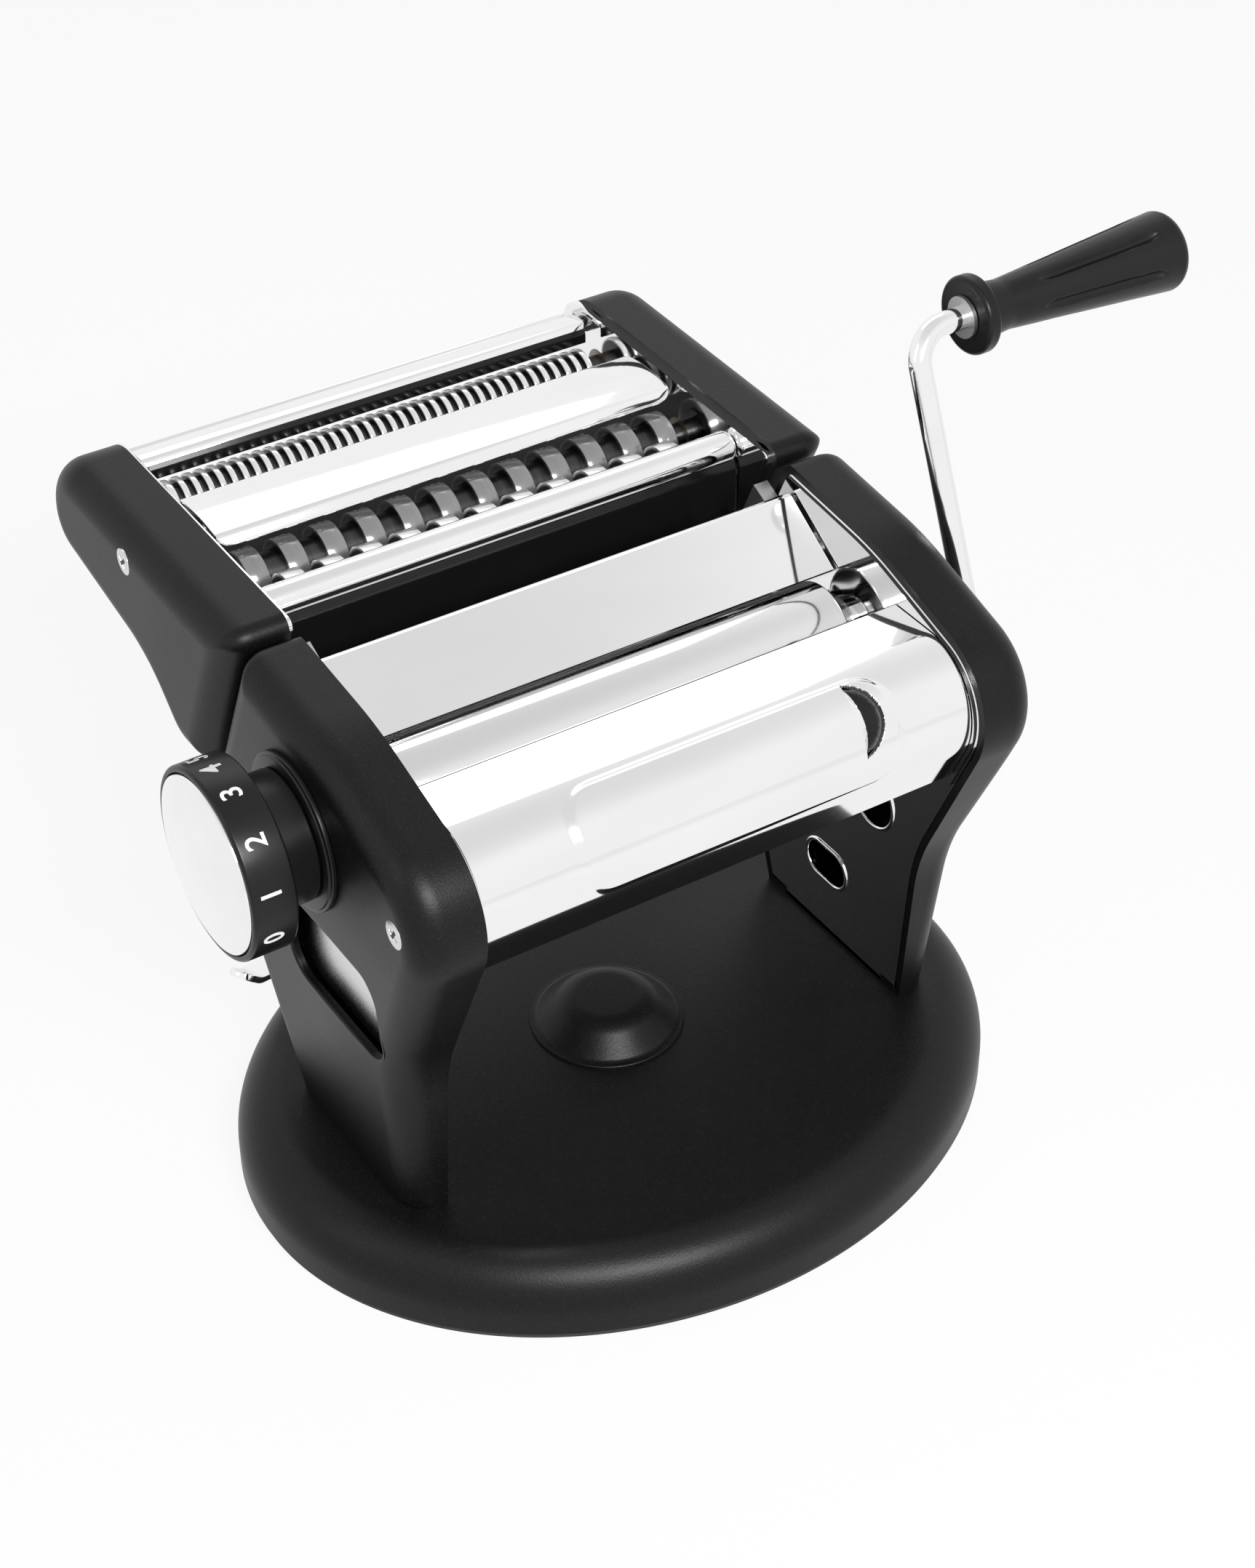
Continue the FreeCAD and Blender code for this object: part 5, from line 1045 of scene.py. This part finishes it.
def screw(place, out, across):
    """A screw: a shank, and a head whose face stands at rise - dome * (r / head)^4, less the depth of a
    pressed cross where either of its arms covers the point."""
    axes = np.stack([np.asarray(out, float), np.asarray(across, float), np.cross(out, across)])
    radius = np.concatenate([np.linspace(0, 3, 31), [3.4, 3.8, 4.05, SCREW_HEAD]])[:, None]
    angle = full_turn(144)
    a, b = radius * np.cos(angle), radius * np.sin(angle)

    def arm(along, aside):
        inside = np.clip((CROSS_HALF - np.abs(aside)) / CROSS_WALL, 0, 1)
        return inside * np.clip((CROSS_REACH - np.abs(along)) / CROSS_END, 0, 1)

    dome = SCREW_RISE - SCREW_DOME * (radius / SCREW_HEAD) ** 4
    face = np.stack([dome - CROSS_DEPTH * np.maximum(arm(a, b), arm(b, a)), a, b], -1)
    body = lathe(SCREW_BODY, turns=144)
    return welded(np.asarray(place, float) + face @ axes, np.asarray(place, float) + body @ axes)


def put_screws():
    def on_covers(place, cross):
        return [screw((side * COVER_FACE, *place), (side, 0, 0), cross) for side in (1, -1)]

    legs = [screw((side * LEG_SCREW_X, y, LEG_SCREW_Z), (0, 0, -1), LEG_CROSS)
            for side in (1, -1) for y in LEG_SCREW_YS]
    piece("frame_screw_set", on_covers(COVER_SCREW, COVER_CROSS) + legs, "frame", "steel", ["frame_screws"],
          SCREW_STEEL)
    piece("cutter_screw_set", on_covers(CUTTER_SCREW, CUTTER_CROSS), "cutter", "steel", ["cutter_screws"],
          SCREW_STEEL)


# Suction lever

LEVER_TURN = math.radians(117.4)
LEVER_RISE, LEVER_BEND = math.radians(20), math.radians(44)
LEVER_ARM, LEVER_TIP, LEVER_KNEE_ROUND = 45, 9, 9
LEVER_MIDDLE, LEVER_HALF_WIDTH, LEVER_HALF_THICK, LEVER_EDGE = 107.5, 4.5, 1.25, 0.5
LEVER_ROOT = (4.6, 1.67, 0)
# The hub as (distance along the shaft, radius, rounding)
HUB_PROFILE = [(103, 0, 0), (103, 5.5, 0.8), (112, 5.5, 0.8), (112, 0, 0)]


def suction_lever():
    """The lever: a bent strip that narrows in a half circle at its tip, and a round hub on the shaft. Its
    axes are the shaft's way outwards, level across the shaft, and up."""
    origin = np.array(axle("lever"))
    along = np.array([math.cos(LEVER_TURN), math.sin(LEVER_TURN), 0])
    across = np.array([-math.sin(LEVER_TURN), math.cos(LEVER_TURN), 0])
    up = np.array([0, 0, 1])
    knee = LEVER_ARM * toward(LEVER_RISE)
    tip = knee + LEVER_TIP * toward(LEVER_BEND)
    line = even_line(rounded_line([LEVER_ROOT, (*knee, LEVER_KNEE_ROUND), (*tip, 0)], steps=14), 60)
    normal = left_of(way_of(line))
    from_tip = 1 - np.linalg.norm(line - line[-1], axis=1) / LEVER_HALF_WIDTH
    width = LEVER_HALF_WIDTH * np.sqrt(np.clip(1 - np.clip(from_tip, 0, 1) ** 2, 0, 1))
    section = rounded_box(0, 0, 1, LEVER_HALF_THICK, LEVER_EDGE, 4)
    inset = 1 - np.abs(section[:, 0])
    side = np.sign(section[:, 0])[None] * np.maximum(width[:, None] - inset[None], 0)
    thin_below = 0.6
    thick = section[None, :, 1] * np.minimum(1, width / thin_below)[:, None]
    flat = line[:, None, :] + normal[:, None, :] * thick[..., None]
    grid = origin + (LEVER_MIDDLE + side)[..., None] * along + flat[..., :1] * across + flat[..., 1:] * up
    root = np.broadcast_to(grid[0].mean(axis=0), grid[:1].shape)
    hub = turned(HUB_PROFILE, 4, origin, 48, (along, across, up))
    return [welded(np.concatenate([root, grid])), hub]


def put_lever():
    piece("suction_lever_strip", suction_lever(), "lever", "chrome", ["suction_lever"])


def finish_solids():
    """Gives every solid that still shows the finish of its slot, and the two side frames their own."""
    slots = {row["node"]: row["material_slot"] for row in frame["record"]["subparts"]}
    own = {"left_side_frame": SATIN_PLATE, "right_side_frame": CHROME}
    for name, solid in frame["nodes"].items():
        solid.data.materials.clear()
        solid.data.materials.append(own.get(name, SLOT_FINISH[slots[name]]))


# Studio, in metres

FLOOR_REACH, FLOOR_WHITE = 30, 0.9
SKY_LIGHT, SKY_DIMMED = 0.2, 0.2
LAMP_AIM = Vector((0, 0, 0.1))
# Lamps as place, size and watts
LAMPS = {"back_lamp": ((0.3, 0.9, 1.1), (1, 0.5), 1.5),
         "front_lamp": ((-0.2, -1.1, 1.05), (0.8, 0.4), 25),
         "left_lamp": ((-1.2, 0.1, 0.9), (0.4, 0.9), 1.5)}
# The camera, by its direction and distance from the point that it looks at
AZIMUTH, ELEVATION, ROLL = 0.571522368, 0.656959172, -0.0024294145
DISTANCE, TARGET = 0.897775166, Vector((0.00479456455, 0, 0.120126763))
LENS, SENSOR = 69.353, 36


def put_floor():
    """A pale floor that keeps the object's shadow, and is nearly white to the camera and in the metal."""
    mesh = bpy.data.meshes.new("floor")
    corners = [(x * FLOOR_REACH, y * FLOOR_REACH, 0) for x, y in ((-1, -1), (1, -1), (1, 1), (-1, 1))]
    mesh.from_pydata(corners, [], [(0, 1, 2, 3)])
    floor = placed("floor", mesh)
    paper = new_finish("pale_floor")
    colour = paper.blend(paper.noise(3, 2), grey(0.82), grey(0.86))
    lit = paper.node("ShaderNodeBsdfPrincipled", {}, {"Base Color": colour, "Roughness": 0.7})
    glow = paper.node("ShaderNodeEmission", {}, {"Color": grey(1), "Strength": 1})
    seen = paper.ray("Camera").largest(paper.ray("Glossy")).largest(paper.ray("Transmission"))
    paper.end(paper.node("ShaderNodeMixShader", {}, {0: seen * FLOOR_WHITE, 1: lit, 2: glow}))
    mesh.materials.append(paper.holder)


def put_sky():
    """A surround that is white to the camera and in the metal, a little dimmer overhead there, and that
    lights the object softly."""
    sky = Finish(bpy.data.worlds.new("studio"))
    bpy.context.scene.world = sky.holder
    seen = sky.ray("Camera")
    mirrored = sky.ray("Glossy").largest(sky.ray("Transmission"))
    height = sky.part(sky.node("ShaderNodeTexCoord", out="Generated"), "Z")
    overhead = 1 - SKY_DIMMED * sky.between(height, 0.65, 0.97)
    strength = seen + (1 - seen) * (mirrored * overhead + (1 - mirrored) * SKY_LIGHT)
    background = sky.node("ShaderNodeBackground", {}, {"Color": grey(1), "Strength": strength})
    sky.end(background, "ShaderNodeOutputWorld")


def put_lamps():
    for name, (place, size, watts) in LAMPS.items():
        light = bpy.data.lights.new(name, "AREA")
        light.shape = "RECTANGLE"
        light.size, light.size_y = size
        light.energy = watts
        holder = placed(name, light)
        holder.location = place
        holder.rotation_euler = (LAMP_AIM - Vector(place)).to_track_quat("-Z", "Y").to_euler()


def put_camera():
    lens = bpy.data.cameras.new("photo_camera")
    lens.sensor_fit = "VERTICAL"
    lens.sensor_height = SENSOR
    lens.lens = LENS
    lens.clip_start = 0.01
    lens.clip_end = 50
    camera = placed("photo_camera", lens)
    level = math.cos(ELEVATION)
    away = Vector((-math.sin(AZIMUTH) * level, -math.cos(AZIMUTH) * level, math.sin(ELEVATION)))
    right = Vector((math.cos(AZIMUTH), -math.sin(AZIMUTH), 0))
    upward = away.cross(right)
    turned_right = math.cos(ROLL) * right + math.sin(ROLL) * upward
    turned_up = math.cos(ROLL) * upward - math.sin(ROLL) * right
    basis = Matrix((turned_right, turned_up, away)).transposed().to_4x4()
    basis.translation = TARGET + away * DISTANCE
    camera.matrix_world = basis
    bpy.context.scene.camera = camera
    bpy.context.scene.view_settings.view_transform = "Standard"


for put in (put_base, put_covers, put_sheets, put_rollers, put_cutters, put_crank, put_dial, put_screws,
            put_lever, finish_solids, put_floor, put_sky, put_lamps, put_camera):
    put()
